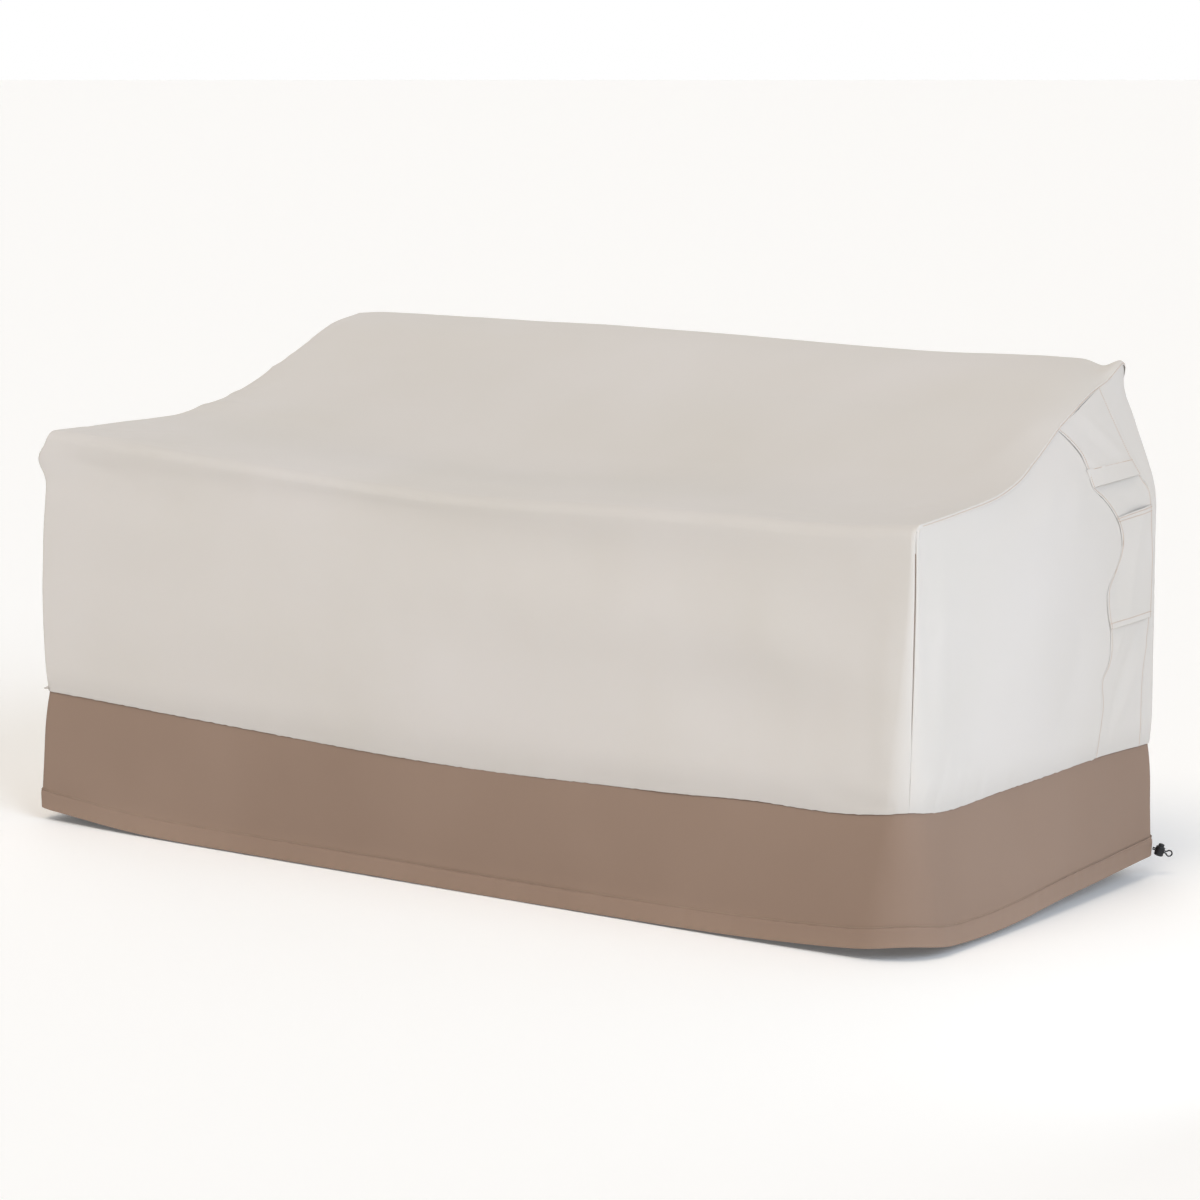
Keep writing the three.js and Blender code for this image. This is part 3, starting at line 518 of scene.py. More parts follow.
# %% Sewn edges
TURNED_IN = [(0.0, 1.6), (0.0, 3.0), (0.0, 9.0)]
TURNED_UNDER = [(0.3, 0), (0.8, 0.2), (1.6, 0.6), (2.4, 1.0)]
PLAIN_ENDS = 10
STEP_WIDTH = 2.5


def to_edge(values, edge):
    """An array turned so that its first rows lie along that edge."""
    values = np.swapaxes(values, 0, 1) if edge in ("left", "right") else values
    return values[::-1] if edge in ("right", "high") else values


def from_edge(values, edge):
    """An array that was turned by to_edge, turned back."""
    values = values[::-1] if edge in ("right", "high") else values
    return np.swapaxes(values, 0, 1) if edge in ("left", "right") else values


def distances(grid, edge):
    """How far each point of a grid lies from an edge, and how far along that edge, in millimetres."""
    line = to_edge(grid, edge)
    return walked(line), walked(line[0])


def drawn_in(grid, edge, depth, reach, ring=False):
    """The grid curved in towards an edge, by that depth over that reach in millimetres."""
    far = distances(grid, edge)[0]
    return lifted(grid, from_edge(-depth * np.clip(1 - far / reach, 0, 1) ** 2, edge), ring)


def seam_edge(
    grid, edge, proud=0.5, over=7.0, roll=1.1, pucker=0.5, size=16, reach=22, ragged=0.0, seed=0.0, ring=False
):
    """The grid with a sewn edge: its doubled cloth stands proud, puckers, and rolls down into the seam."""
    far, walk = distances(grid, edge)
    if ragged:
        line = to_edge(grid, edge)
        spread = ragged * (0.5 + 0.5 * uneven(points(walk, 0.0, 0.0), 10, seed + 5)) * np.exp(-far / 6)
        grid = from_edge(line + unit(line[0] - line[4]) * spread[..., None], edge)
        far, walk = distances(grid, edge)
    lift = proud * eased(np.clip((over + STEP_WIDTH - far) / STEP_WIDTH, 0, 1))
    lift -= roll - np.sqrt(np.maximum(0, roll**2 - np.maximum(0, roll - far) ** 2))
    pulls = uneven(points(walk[None, :], 0.15 * far, 0.0), size, seed)
    lift += pucker * pulls * np.exp(-far / reach) * np.clip(far / 3, 0, 1)
    return lifted(grid, from_edge(lift, edge), ring)


def fold_edge(grid, edge, profile=TURNED_IN, ring=False, steps=1, ends=0):
    """The grid with more rows or columns past an edge: each lies out along the cloth and in from its face.

    That many rows or columns at both ends take their direction from the next one."""
    line, face = to_edge(grid, edge), to_edge(normals_of(grid, ring), edge)
    out, inward = unit(line[0] - line[steps]), face[steps if steps > 1 else 0]
    if ends:
        for way in (out, inward):
            way[:ends], way[-ends:] = way[ends], way[-ends - 1]
    added = [line[0] + out * a - inward * b for a, b in profile]
    return from_edge(np.concatenate([added[::-1], line]), edge)


def sewn_in(grid):
    """The grid with its sides and foot turned in, straight at the corners, and its top turned under."""
    for edge in ("left", "right", "low"):
        grid = fold_edge(grid, edge, ends=PLAIN_ENDS)
    return fold_edge(grid, "high", TURNED_UNDER)


def line_on(grid, edge, inset, ring=False):
    """Points and normals of a seam line on a grid, at that distance from an edge."""
    far = distances(grid, edge)[0]
    grid, face = to_edge(grid, edge), to_edge(normals_of(grid, ring), edge)
    i = np.argmax(far >= inset, axis=0)
    c = np.arange(grid.shape[1])
    t = ((inset - far[i - 1, c]) / (far[i, c] - far[i - 1, c]))[:, None]
    return mix(grid[i - 1, c], grid[i, c], t), mix(face[i - 1, c], face[i, c], t)


# %% Make a sheet from its grid
cloths, seam_lines = {}, []


def to_frame(grid):
    return (grid - ORIGIN) / 1000


def sheet_from(name, grid, thickness=SHEET, ring=False):
    """A thin closed mesh on a grid of points, with its own map in metres of cloth."""
    grid = to_frame(grid)
    middle = grid[len(grid) // 2]
    across = walked(np.concatenate([middle, middle[:1]]) if ring else middle)
    up = walked(grid[:, grid.shape[1] // 2])
    cloth = grid_piece(name, grid, across, up, "cloth_map", ring)
    solid = cloth.modifiers.new("thickness", "SOLIDIFY")
    solid.thickness, solid.offset = thickness / 1000, -1
    bpy.ops.object.modifier_apply(modifier=solid.name)
    bpy.ops.object.shade_smooth_by_angle(angle=math.radians(50))
    print(f"{name}: {len(cloth.data.polygons)} faces, {across[-1]:.3f} x {up[-1]:.3f} m")
    cloths[name] = cloth


# %% [markdown]
# ## The top and front cloth
# One cloth runs from the band's seam up the front, over the fold, up the slope and just over the ridge.
# Its grid follows that run. The side edges of its top are lapped down over the side panels, as a rolled
# seam is, and the edges of its front are turned in at the corner seams, which leaves a narrow dark groove.

# %% Points of the top and front cloth
def top_front_at(place, part, at):
    """Point of the cloth: place runs from -2 to 2 across, and past 1 on either side it turns to the seam."""
    side = by_hand(place, -1, 1)
    share, turn = np.minimum(1, np.abs(place)), np.maximum(0, np.abs(place) - 1)
    bend = turn * math.pi / 4
    if part == "front":
        wide = corner_radius(side, "seam")
        foot_x = side * (share * (HALF_WIDTH - wide) + wide * np.sin(bend))
        low = edge_height("seam", foot_x, wide * (1 - np.cos(bend))) + SEAM_GAP
        width = read(SHOULDER, 0, "width")
        across = side * (share * (1 - width / HALF_WIDTH) + turn * width / HALF_WIDTH)
        drop = turn**2 * hand_column(SHOULDER, 0, side)
        z = mix(low, top_height(across, FOLD_ROUND) - FOLD_ROUND - drop, at)
        radius = corner_at(side, z)
        x = side * (share * (half_width_at(z) - radius) + radius * np.sin(bend))
        return points(x, front_at(z) + radius * (1 - np.cos(bend)), z)
    y = at
    if part == "fold":
        y = FOLD_ROUND * (1 - np.cos(at))
    if part == "ridge":
        y = RIDGE_Y + RIDGE_ROUND * np.sin(at)
    level = np.clip(y, 0, RIDGE_Y)
    drop, width = hand_column(SHOULDER, level, side), read(SHOULDER, level, "width")
    rounding = CORNER_RIGHT["fold"] * np.cos(at) if part == "fold" else 0
    corners = round_off(DEPTH - y, REAR_ROUND) + CORNER_SHARE * rounding
    edge = HALF_WIDTH - lean_at(side, y, seam_height(side, y)) - corners
    x = side * (share * (edge - width) + turn * width)
    z = top_height(x / edge, np.maximum(level, FOLD_ROUND)) - drop * turn**2
    if part == "fold":
        z = z - FOLD_ROUND * (1 - np.sin(at))
    if part == "ridge":
        z = z - RIDGE_ROUND * (1 - np.cos(at))
    return points(x, y + rounding * (1 - np.cos(bend)), z)


turns = 1 + 1 - (1 - np.linspace(0, 1, 13)[1:]) ** 1.6
places = np.concatenate([-turns[::-1], np.linspace(-1, 1, 221), turns])
FOLD_RUN, TOP_RUN = 600, 620
sections = [
    ("front", stations(400, 8, end=False)[:-1]),
    ("fold", np.linspace(0, math.pi / 2, 10)),
    ("top", np.linspace(FOLD_ROUND, RIDGE_Y, 78)[1:-1]),
    ("ridge", np.linspace(0, math.pi / 2, 9)),
]
grids, runs = [], []
for part, at in sections:
    p, a = np.meshgrid(places, at)
    grid = top_front_at(p, part, a)
    on_top = np.where(grid[..., 1] < FOLD_ROUND, FOLD_RUN, TOP_RUN) + grid[..., 1]
    grids.append(grid)
    runs.append(grid[..., 2] if part == "front" else on_top)
top_grid, top_run = drape(np.concatenate(grids)), np.concatenate(runs)
front_rows = len(sections[0][1])
print("top and front grid:", top_grid.shape, "over the ridge at row", len(top_grid) - 9)


# %% Creases of the top and front cloth
# x across and the run up the cloth, in millimetres: the run is the height on the front, 600 at the fold,
# and 620 plus the depth on the top
TOP_CREASES = rows("""
x0 run0 x1 run1 width rise
380 606 800 614 9 1.2
-800 590 -420 575 20 -2.6
-440 575 260 545 28 -3.4
240 545 680 548 30 -2.8
-780 560 -420 505 30 -2.2
-760 330 -60 350 78 6.5
60 430 560 440 60 6.5
520 440 740 400 44 4.0
380 345 640 335 55 -7.5
560 240 760 300 40 4.0
-300 230 240 225 26 -2.5
770 240 782 520 20 1.8
640 236 780 214 14 -1.8
-790 612 -560 640 7 1.8
-790 622 -480 690 8 1.8
-790 606 -620 612 5 -1.6
-780 596 -640 566 8 -1.8
-785 640 -640 760 9 1.6
-800 700 -700 690 8 -1.8
-805 960 -690 985 9 2.4
-805 1020 -700 1060 9 2.4
-805 1100 -720 1120 8 2.2
-805 1180 -740 1190 8 2.0
420 640 640 664 7 1.6
600 660 720 644 6 -1.4
690 740 735 800 6 -2.0
560 700 640 690 6 1.2
640 612 790 602 6 1.8
-500 830 300 870 60 -5.0
-560 700 500 716 40 2.6
-300 1010 500 1050 50 2.6
100 1150 640 1100 34 -2.4
-640 1120 -260 1190 40 -2.4
700 860 770 1180 26 2.4
""")
top_grid = creased(top_grid, top_grid[..., 0], top_run, TOP_CREASES)
lumps = 1.3 * uneven(top_grid, 170, 3.0) + 0.35 * uneven(top_grid, 50, 9.0)
top_grid = lifted(top_grid, lumps)


# %% Lap the side edges and fold the others in
LAP = [(0.5, 0.2), (1.0, 0.8), (1.2, 1.8), (1.2, 3.2), (1.1, 4.8), (0.8, 5.8), (0.4, 6.0), (0.1, 5.6)]
LIP = [(0.5, 0.12), (0.85, 0.45), (1.0, 0.9), (1.15, 1.4), (2.0, 1.8), (3.6, 1.9), (5.2, 2.1), (5.6, 6.0)]


def lapped(grid, edge):
    """More columns past a side edge: turned in along the front, lapped over the side panel above it."""
    line, face = to_edge(grid, edge), to_edge(normals_of(grid), edge)[0]
    side, rim, out = HANDS[edge], line[0], unit(line[0] - line[1])
    q, z = rim[:, 1], rim[:, 2]
    down = unit(side_wall(side, q, z - 5) - side_wall(side, q, z + 5))
    wall = unit(np.stack([side * np.ones_like(q), 0 * q, -side * down[:, 0] / down[:, 2]], -1))
    lap_share = eased(np.clip((np.arange(len(rim)) - front_rows - 2) / 7, 0, 1))[:, None]
    added = []
    for (lap_out, lap_down), (lip_out, lip_in) in zip(LAP, LIP):
        lap = rim + wall * lap_out + down * lap_down
        lip = rim + out * lip_out - face * lip_in
        added.append(mix(lip, lap, lap_share))
    return from_edge(np.concatenate([added[::-1], line]), edge)


top_grid = drawn_in(top_grid, "low", 3.2, 55)
top_grid = seam_edge(top_grid, "low", pucker=1.5, size=9, reach=13, roll=0.7, ragged=2.4, seed=4.0)
top_grid = lapped(lapped(top_grid, "right"), "left")
lap_normals = normals_of(top_grid)
for column in (4, -5):
    seam_lines.append((top_grid[front_rows + 9 :, column], lap_normals[front_rows + 9 :, column]))
sheet_from("top_front_cloth", fold_edge(fold_edge(top_grid, "low"), "high"))


# %% [markdown]
# ## Side panels, vent strips and their flaps
# Each side wall is three pieces: a panel, a narrow upright strip behind it, and on the strip a short hood
# and a lower flap. Their edges are seams that wander, so each piece is a patch between four edge curves.

# %% Patches of a side wall
GAP = 0.3
GROOVE = 2.8
TOP_EASE = 8
REAR_END = DEPTH - REAR_ROUND + REAR_ROUND * math.pi / 2


def patch(side, left, right, low, high, us, vs):
    """Grid of a wall between four edges, each of which gives depth and height along it.

    It comes with both, and on the left its columns are turned about, so that the cloth faces out."""
    u, v = np.meshgrid(us, vs)
    qz = []
    for k in (0, 1):
        ends = mix(mix(left(0.0)[k], right(0.0)[k], u), mix(left(1.0)[k], right(1.0)[k], u), v)
        qz.append(mix(left(v)[k], right(v)[k], u) + mix(low(u)[k], high(u)[k], v) - ends)
    return [values if side > 0 else values[:, ::-1] for values in (side_wall(side, *qz), *qz)]


def strip_top(side, column):
    """Depth at which a seam of the vent strip meets the top cloth."""
    depth = float(RIDGE_Y)
    for _ in range(40):
        depth = mix(depth, read(STRIP_EDGE, under_seam(side, depth), column), 0.5)
    return depth


def strip_edge(side, column, shift):
    foot = foot_height(side, read(STRIP_EDGE, LEVEL_SEAM, column))
    top = under_seam(side, strip_top(side, column))

    def edge(v):
        z = mix(foot, top, v)
        return read(STRIP_EDGE, z, column) + shift, z

    return edge


def between(start, end, height_at):
    """An edge that runs from one depth to another, at the height that belongs to each depth."""
    return lambda u: (mix(start, end, u), height_at(mix(start, end, u)))


def front_seam(side):
    """Front edge of a side panel, halfway round the corner and stepped back under the fold at its top."""
    start = CORNER_SHARE * CORNER_RIGHT["fold"] + CLOTH + SEAM_GAP
    foot = foot_height(side, CORNER_SHARE * corner_radius(side, "seam"))
    top = under_seam(side, start)

    def edge(v):
        z = mix(foot, top, v)
        back = mix(GAP + GROOVE, CLOTH + SEAM_GAP, np.asarray(v, float) ** TOP_EASE)
        return front_at(z) + CORNER_SHARE * corner_at(side, z) + back, z

    return edge


def wall_piece(side, left, right, us, vs, creases, lumps=0.0):
    """A piece of the wall between two upright edges, hung, creased, and drawn in to the band's seam."""
    low = between(left(0.0)[0], right(0.0)[0], lambda q: foot_height(side, q))
    high = between(left(1.0)[0], right(1.0)[0], lambda q: under_seam(side, q))
    grid, q, z = patch(side, left, right, low, high, us, vs)
    grid = creased(drape(grid), q, z, creases)
    return drawn_in(lifted(grid, lumps * uneven(grid, 120, 5.0 + side)), "low", 3.0, 45)


# %% Side panels
corner_lines = []


def corner_line(side):
    """Points and normals of the stitches that close the groove of a front corner. Drawn wide and dark brown,
    they also paint the groove's shade.
    """
    place = [front_seam(side)(v) for v in np.linspace(0.004, 0.93, 300)]
    q, z = np.array(place).T
    q = q - 0.45 * GROOVE
    here, ahead, above = (drape(side_wall(side, q + a, z + b)) for a, b in ((0, 0), (1, 0), (0, 1)))
    face = unit(np.cross(ahead - here, above - here)) * side
    foot = 3.2 * np.clip(1 - (z - z[0]) / 50, 0, 1) ** 2
    return here - face * (0.6 + foot)[:, None], face


SIDE_CREASES = rows("""
q0 z0 q1 z1 width rise
62 250 72 540 26 3.6
150 240 165 520 40 -3.0
60 566 330 612 24 -3.2
300 560 430 640 26 2.4
24 215 52 262 8 1.8
58 205 88 275 9 -1.8
112 205 134 252 10 1.6
180 205 192 240 10 -1.4
250 205 262 236 9 1.2
400 260 480 420 40 -4.5
420 560 480 640 26 2.6
300 300 380 540 60 3.6
40 430 62 470 12 -1.6
""")
for hand, side in HANDS.items():
    edges = front_seam(side), strip_edge(side, "front", -GAP)
    grid = wall_piece(side, *edges, stations(500, 7), stations(440, 7), SIDE_CREASES, 0.6)
    for edge in ("left", "right", "low"):
        kind = {"pucker": 1.5, "size": 9, "reach": 13, "ragged": 2.4} if edge == "low" else {"pucker": 0.7}
        roll = 0.4 if edge == hand else 0.8
        grid = seam_edge(grid, edge, proud=0.3, roll=roll, seed=len(edge) + side, **kind)
    sheet_from(f"side_cloth_{hand}", sewn_in(grid))
    corner_lines.append(corner_line(side))


# %% Vent strips
STRIP_CREASES = rows("""
q0 z0 q1 z1 width rise
530 240 640 400 14 -3.0
560 240 655 360 10 2.0
540 330 600 410 9 2.0
520 210 560 300 8 1.4
585 580 650 560 12 -2.5
""")
for hand, side in HANDS.items():
    edges = strip_edge(side, "front", GAP), strip_edge(side, "rear", -GAP)
    grid = wall_piece(side, *edges, stations(130, 6), stations(480, 6), STRIP_CREASES)
    for edge in ("left", "right", "low"):
        grid = seam_edge(grid, edge, proud=0.5, pucker=0.5, roll=0.5, seed=2 * len(edge) + side)
    seam_lines += [line_on(grid, edge, 4.0) for edge in ("left", "right")]
    sheet_from(f"strip_cloth_{hand}", sewn_in(grid))


# %% Hoods and lower flaps
HOOD_EDGE = {"front": 613, "rear": 618}
LOWER_TOP = {"front": 562, "rear": 571}
LOWER_EDGE = {"front": 399, "rear": 402}
HOOD_STAND_OFF, LOWER_STAND_OFF = 2.4, 1.5
FLAP_CLOTH, FLAP_SEAM_GAP, FLAP_TURN, FLAP_SIDE_LIFT = 1.5, 0.4, 0.25, 0.9
FLAP_SHEET, HOOD_HEM, LOWER_HEM = 0.45, 26, 9
SIDES_IN = (0.4, 1.0, 1.8)
HEM_FOLD = [(0.35, 0.2), (0.5, 0.7), (0.35, 1.2), (-0.5, 1.3)]
HOOD_CREASES = rows("""
q0 z0 q1 z1 width rise
470 680 540 630 8 1.6
520 720 620 640 9 1.4
500 700 590 640 12 -1.6
""")
LOWER_CREASES = rows("""
q0 z0 q1 z1 width rise
590 540 560 420 16 -2.0
640 560 600 420 14 2.2
""")


def flap_grid(side, top, edge, stand_off, creases, hem):
    """A flap sewn at its top and both sides, whose hemmed lower edge stands off the strip."""

    def upright(column, shift):
        def line(v):
            z = mix(edge[column], top[column], v)
            return read(STRIP_EDGE, z, column) + shift, z

        return line

    def level(v):
        (q0, z0), (q1, z1) = left(v), right(v)
        return between(q0, q1, lambda q: mix(z0, z1, (q - q0) / (q1 - q0)))

    left, right = upright("front", 2 * GAP), upright("rear", -2 * GAP)
    us, vs = stations(130, 5), stations(top["front"] - edge["front"], 4)
    grid, q, z = patch(side, left, right, level(0.0), level(1.0), us, vs)
    down, middle = 1 - vs[:, None], np.sin(math.pi * us)[None, :] ** 0.5
    below = eased(np.minimum(1, down / FLAP_TURN))
    lift = FLAP_SEAM_GAP + 1.5 * SEAM_GAP * below + stand_off * down**3 + FLAP_CLOTH
    lift = mix(np.minimum(lift, FLAP_SIDE_LIFT), lift, middle)
    grid = creased(drape(lifted(grid, lift)), q, z, creases)
    grid = seam_edge(grid, "low", proud=0.5, over=hem + 1.5, roll=0.4, pucker=0.0)
    for edge in ("left", "right"):
        grid = seam_edge(grid, edge, proud=0.3, over=6, roll=0.4, pucker=0.3, seed=3 * len(edge) + side)
        seam_lines.append(line_on(grid, edge, 3.6))
    seam_lines.append(line_on(grid, "low", hem))
    face = normals_of(grid)
    fold = HEM_FOLD + [(-0.4 * hem, 1.2), (-hem - 2, 1.1)]
    face = np.concatenate([0.4 * np.repeat(face[5:6], len(fold), 0), face])
    grid = fold_edge(grid, "low", fold, steps=6)
    left = [grid[:, :1] - face[:, :1] * inward for inward in SIDES_IN[::-1]]
    right = [grid[:, -1:] - face[:, -1:] * inward for inward in SIDES_IN]
    return np.concatenate([*left, grid, *right], 1)


for hand, side in HANDS.items():
    hood_top = {column: under_seam(side, strip_top(side, column)) for column in ("front", "rear")}
    hood = flap_grid(side, hood_top, HOOD_EDGE, HOOD_STAND_OFF, HOOD_CREASES, HOOD_HEM)
    lower = flap_grid(side, LOWER_TOP, LOWER_EDGE, LOWER_STAND_OFF, LOWER_CREASES, LOWER_HEM)
    inner = lower[:, len(SIDES_IN) : -len(SIDES_IN)]
    sheet_from(f"hood_cloth_{hand}", hood, FLAP_SHEET)
    seam_lines += [line_on(inner, "high", inset) for inset in (3, 9)]
    sheet_from(f"lower_flap_cloth_{hand}", lower, FLAP_SHEET)


# %% [markdown]
# ## The back
# The back hangs from the ridge seam and wraps round both rear corners as far as the strips. The picture
# doesn't show it, so it is finished plainly, with the same soft unevenness as the rest.

# %% Back cloth
def depth_on_wall(side, q):
    return side_wall(side, q, LEVEL_FOLD)[..., 1]


def back_grid():
    """The back's grid: the wrap round each rear corner, and the plain middle between them."""
    vs = stations(560, 12)
    wraps = []
    for side in HANDS.values():
        near = strip_edge(side, "rear", GAP)
        top, bottom = under_seam(side, depth_on_wall(side, REAR_END)), foot_height(side, DEPTH)

        def far(v):
            return REAR_END + 0 * v, mix(bottom, top, v)

        def level(v, height):
            return between(near(v)[0], REAR_END, lambda q: height(side, depth_on_wall(side, q)))

        edges = near, far, level(0.0, foot_height), level(1.0, under_seam)
        wraps.append(patch(side, *edges, stations(70, 4, end=False), vs)[0])
    edge_right, edge_left = wraps[0][:, -1, 0], -wraps[1][:, 0, 0]
    place, v = np.meshgrid(np.linspace(2, -2, 150)[1:-1], vs)
    side = by_hand(place, -1, 1)
    share, turn = np.minimum(1, np.abs(place)), np.maximum(0, np.abs(place) - 1)
    edge = by_hand(side, edge_left[:, None], edge_right[:, None])
    width, drop = SHOULDER["width"][-1], hand_column(SHOULDER, RIDGE_Y, side)
    x = side * (share * (edge - width) + turn * width)
    high = top_height(x / edge, float(RIDGE_Y)) - RIDGE_ROUND - 2 * SEAM_GAP - drop * turn**2
    z = mix(foot_height(side, float(DEPTH)), high, v)
    return drape(np.concatenate([wraps[0], points(x, back_at(z), z), wraps[1]], 1))


grid = back_grid()
grid = lifted(grid, 1.2 * uneven(grid, 160, 2.0) + 0.3 * uneven(grid, 50, 7.0))
grid = drawn_in(grid, "low", 3.0, 45)
for edge in ("left", "right", "low", "high"):
    grid = seam_edge(grid, edge, pucker=0.8, seed=len(edge))
for edge in ("left", "right", "low", "high"):
    grid = fold_edge(grid, edge, ends=PLAIN_ENDS)
sheet_from("back_cloth", grid)


# %% [markdown]
# ## The band
# The taupe band is one ring round the foot. Its lower edge is turned up inside and stitched 30 mm above the
# fold, which makes the casing for the drawcord; the drawn-up cloth puckers there. The ring is followed span
# by span: front, corner, side, corner, back, corner, side, corner.

# %% Outline of the band
CASING_HEIGHT, CASING_SWELL = 30, 2.5
BAND_TALL = LEVEL_SEAM - LEVEL_HEM
CASING_SHARE = CASING_HEIGHT / BAND_TALL
SPANS = ["front", "front right", "right", "rear right", "back", "rear left", "left", "front left"]


def band_outline(span, t, z):
    """Across and depth at a share along one span of the ring."""
    half, front, back = half_width_at(z), front_at(z), back_at(z)
    right, left = (corner_at(side, z) for side in HANDS.values())
    rear = half - REAR_ROUND, back - REAR_ROUND
    arcs = {
        "front right": (half - right, front + right, right, -1),
        "rear right": (*rear, REAR_ROUND, 0),
        "rear left": (-rear[0], rear[1], REAR_ROUND, 1),
        "front left": (left - half, front + left, left, 2),
    }
    if span in arcs:
        x, y, radius, quarter = arcs[span]
        angle = (quarter + t) * math.pi / 2
        return x + radius * np.cos(angle), y + radius * np.sin(angle)
    across = 2 * t - 1
    straights = {
        "front": (across * (half - by_hand(across, left, right)), front),
        "right": (half, mix(front + right, rear[1], t)),
        "back": (-across * rear[0], back),
        "left": (-half, mix(rear[1], front + left, t)),
    }
    return straights[span]


def band_grid(vs):
    counts = dict(zip(SPANS, (270, 24, 96, 8, 200, 8, 112, 10)))
    spans = []
    for span in SPANS:
        t, v = np.meshgrid(np.arange(counts[span]) / counts[span], vs)
        sag = BACK_HEM_SAG * np.sin(math.pi * t) if span == "back" else 0
        hem = edge_height("hem", *band_outline(span, t, float(LEVEL_HEM))) - sag
        seam = edge_height("seam", *band_outline(span, t, float(LEVEL_SEAM)))
        z = mix(hem, seam, v)
        spans.append(points(*band_outline(span, t, z), z))
    return np.concatenate(spans, 1)


# %% Folds and puckers of the band
band_rows = np.concatenate([np.linspace(0, CASING_SHARE, 14)[:-1], mix(CASING_SHARE, 1, stations(155, 6.5))])
band = band_grid(band_rows)
ring_run = np.cumsum(np.linalg.norm(band[20] - np.roll(band[20], 1, 0), axis=-1))[None, :]
v = band_rows[:, None]
above = np.maximum(0, v - CASING_SHARE) * BAND_TALL
up_casing = np.clip(v / CASING_SHARE, 0, 1)
inside = np.sin(math.pi * up_casing**3) * 0.6 + np.sin(math.pi * up_casing) * 0.4


def along_ring(size, seed, slant=0.3):
    """Noise along the ring, whose folds lean a little and fade slowly up the band."""
    flat = points(ring_run + slant * above, above * 0.25, 0.0)
    return uneven(flat, size, seed)


swell = CASING_SWELL * inside * (1 + 0.25 * along_ring(26, 4.0))
puckers = 1.2 * inside * along_ring(12, 8.0, slant=0.0)
hanging = 2.2 * along_ring(95, 1.0) * np.clip(above / 60, 0, 1) * np.clip((1 - v) * BAND_TALL / 50, 0, 1)
low_gathers = 0.7 * along_ring(20, 6.0) * np.exp(-above / 26)
high_gathers = 0.5 * along_ring(17, 12.0) * np.exp(-(1 - v) * BAND_TALL / 14)
band = drape(lifted(band, swell + puckers + hanging + (low_gathers + high_gathers), ring=True))
band = drawn_in(band, "high", 4.4, 70, ring=True)
band = seam_edge(band, "high", proud=0.0, pucker=0.9, size=14, reach=16, seed=5.0, ring=True)
print("band columns and rows:", band.shape[1], band.shape[0], "ring, mm:", round(float(ring_run[0, -1])))


# %% Turn up the hem and make the band
CASING_FOLD = [(0.8, 0.3), (1.1, 1.2), (0.8, 2.2), (-0.8, 2.8), (-8.0, 3.2), (-20.0, 3.2), (-29.0, 1.4)]
band_line = line_on(band, "low", CASING_HEIGHT, ring=True)
band = fold_edge(band, "low", CASING_FOLD, ring=True)
band = fold_edge(band, "high", ring=True)
sheet_from("band_cloth", band, ring=True)


# %% [markdown]
# ## Stitches
# Polyester thread holds every seam, about seven stitches to the inch. One stitch is modelled as a small bead
# with pointed ends, and is then set along the seam lines taken from the cloth grids, turned to its seam.

# %% One stitch
STITCH_PITCH, STITCH_LONG, STITCH_WIDE, STITCH_TALL = 3.4, 3.0, 1.3, 0.8
pick()
bpy.ops.mesh.primitive_uv_sphere_add(segments=6, ring_count=4, radius=0.5, rotation=(0, math.pi / 2, 0))
bpy.ops.object.transform_apply(rotation=True)
stitch = bpy.context.object
stitch_points = np.array([v.co[:] for v in stitch.data.vertices]) * (STITCH_LONG, STITCH_WIDE, STITCH_TALL)
stitch_faces = [list(face.vertices) for face in stitch.data.polygons]
bpy.ops.object.delete()
print("a stitch has", len(stitch_faces), "faces")


# %% Set stitches along seam lines
def stitched(name, lines, widen=1.0):
    """One mesh of stitches along lines of points and normals, in millimetres."""
    stitches = []
    for line, face in lines:
        steps = walked(line)
        count = max(2, int(steps[-1] / STITCH_PITCH))
        at = (np.arange(count) + 0.5) * steps[-1] / count

        def along(values, s):
            return np.stack([np.interp(s, steps, values[:, k]) for k in range(3)], -1)

        way = unit(along(line, at + 1) - along(line, at - 1))
        up = along(face, at)
        up = unit(up - way * (up * way).sum(-1, keepdims=True))
        across = np.cross(up, way)
        middle = along(line, at) + up * 0.1
        placed = [middle + way * x + across * y * widen + up * z for x, y, z in stitch_points]
        stitches.append(np.stack(placed, 1))
    stitches = np.concatenate(stitches)
    starts = range(0, len(stitches) * len(stitch_points), len(stitch_points))
    faces = [[start + k for k in face] for start in starts for face in stitch_faces]
    piece = new_piece(name, to_frame(stitches).reshape(-1, 3).tolist(), [], faces)
    piece.data.shade_smooth()
    print(name, "stitches:", len(stitches), "faces:", len(faces))
    return piece


cream_stitches = stitched("cream_stitches", seam_lines)
band_stitches = stitched("band_stitches", [band_line])
# Corner stitches: wide, dark brown beads deep in the grooves, which also paint the grooves' shade.
corner_stitches_and_shade = stitched("corner_stitches_and_shade", corner_lines, widen=2.2)


# %% [markdown]
# ## The cord lock
# A spring lock is moulded from black nylon: a short barrel with grip ribs and a push button, both pierced by
# the passage that the cord runs through. Both are turned forms, drawn as they are and cut with a rounded bar.

# %% A turned form and the passage
PASSAGE_PLAY = 0.3


def spun(name, profile, sides=40):
    """A solid turned about the lock's Z axis, from a half profile of radius and height in millimetres."""
    line = [(r / 1000, 0, z / 1000) for r, z in profile]
    piece = new_piece(name, line, [(i, i + 1) for i in range(len(line) - 1)], [])
    bpy.ops.object.mode_set(mode="EDIT")
    bpy.ops.mesh.select_all(action="SELECT")
    bpy.ops.mesh.spin(steps=sides, angle=2 * math.pi, center=(0, 0, 0), axis=(0, 0, 1))
    bpy.ops.mesh.select_all(action="SELECT")
    bpy.ops.mesh.remove_doubles(threshold=1e-6)
    bpy.ops.mesh.normals_make_consistent(inside=False)
    bpy.ops.object.mode_set(mode="OBJECT")
    return piece


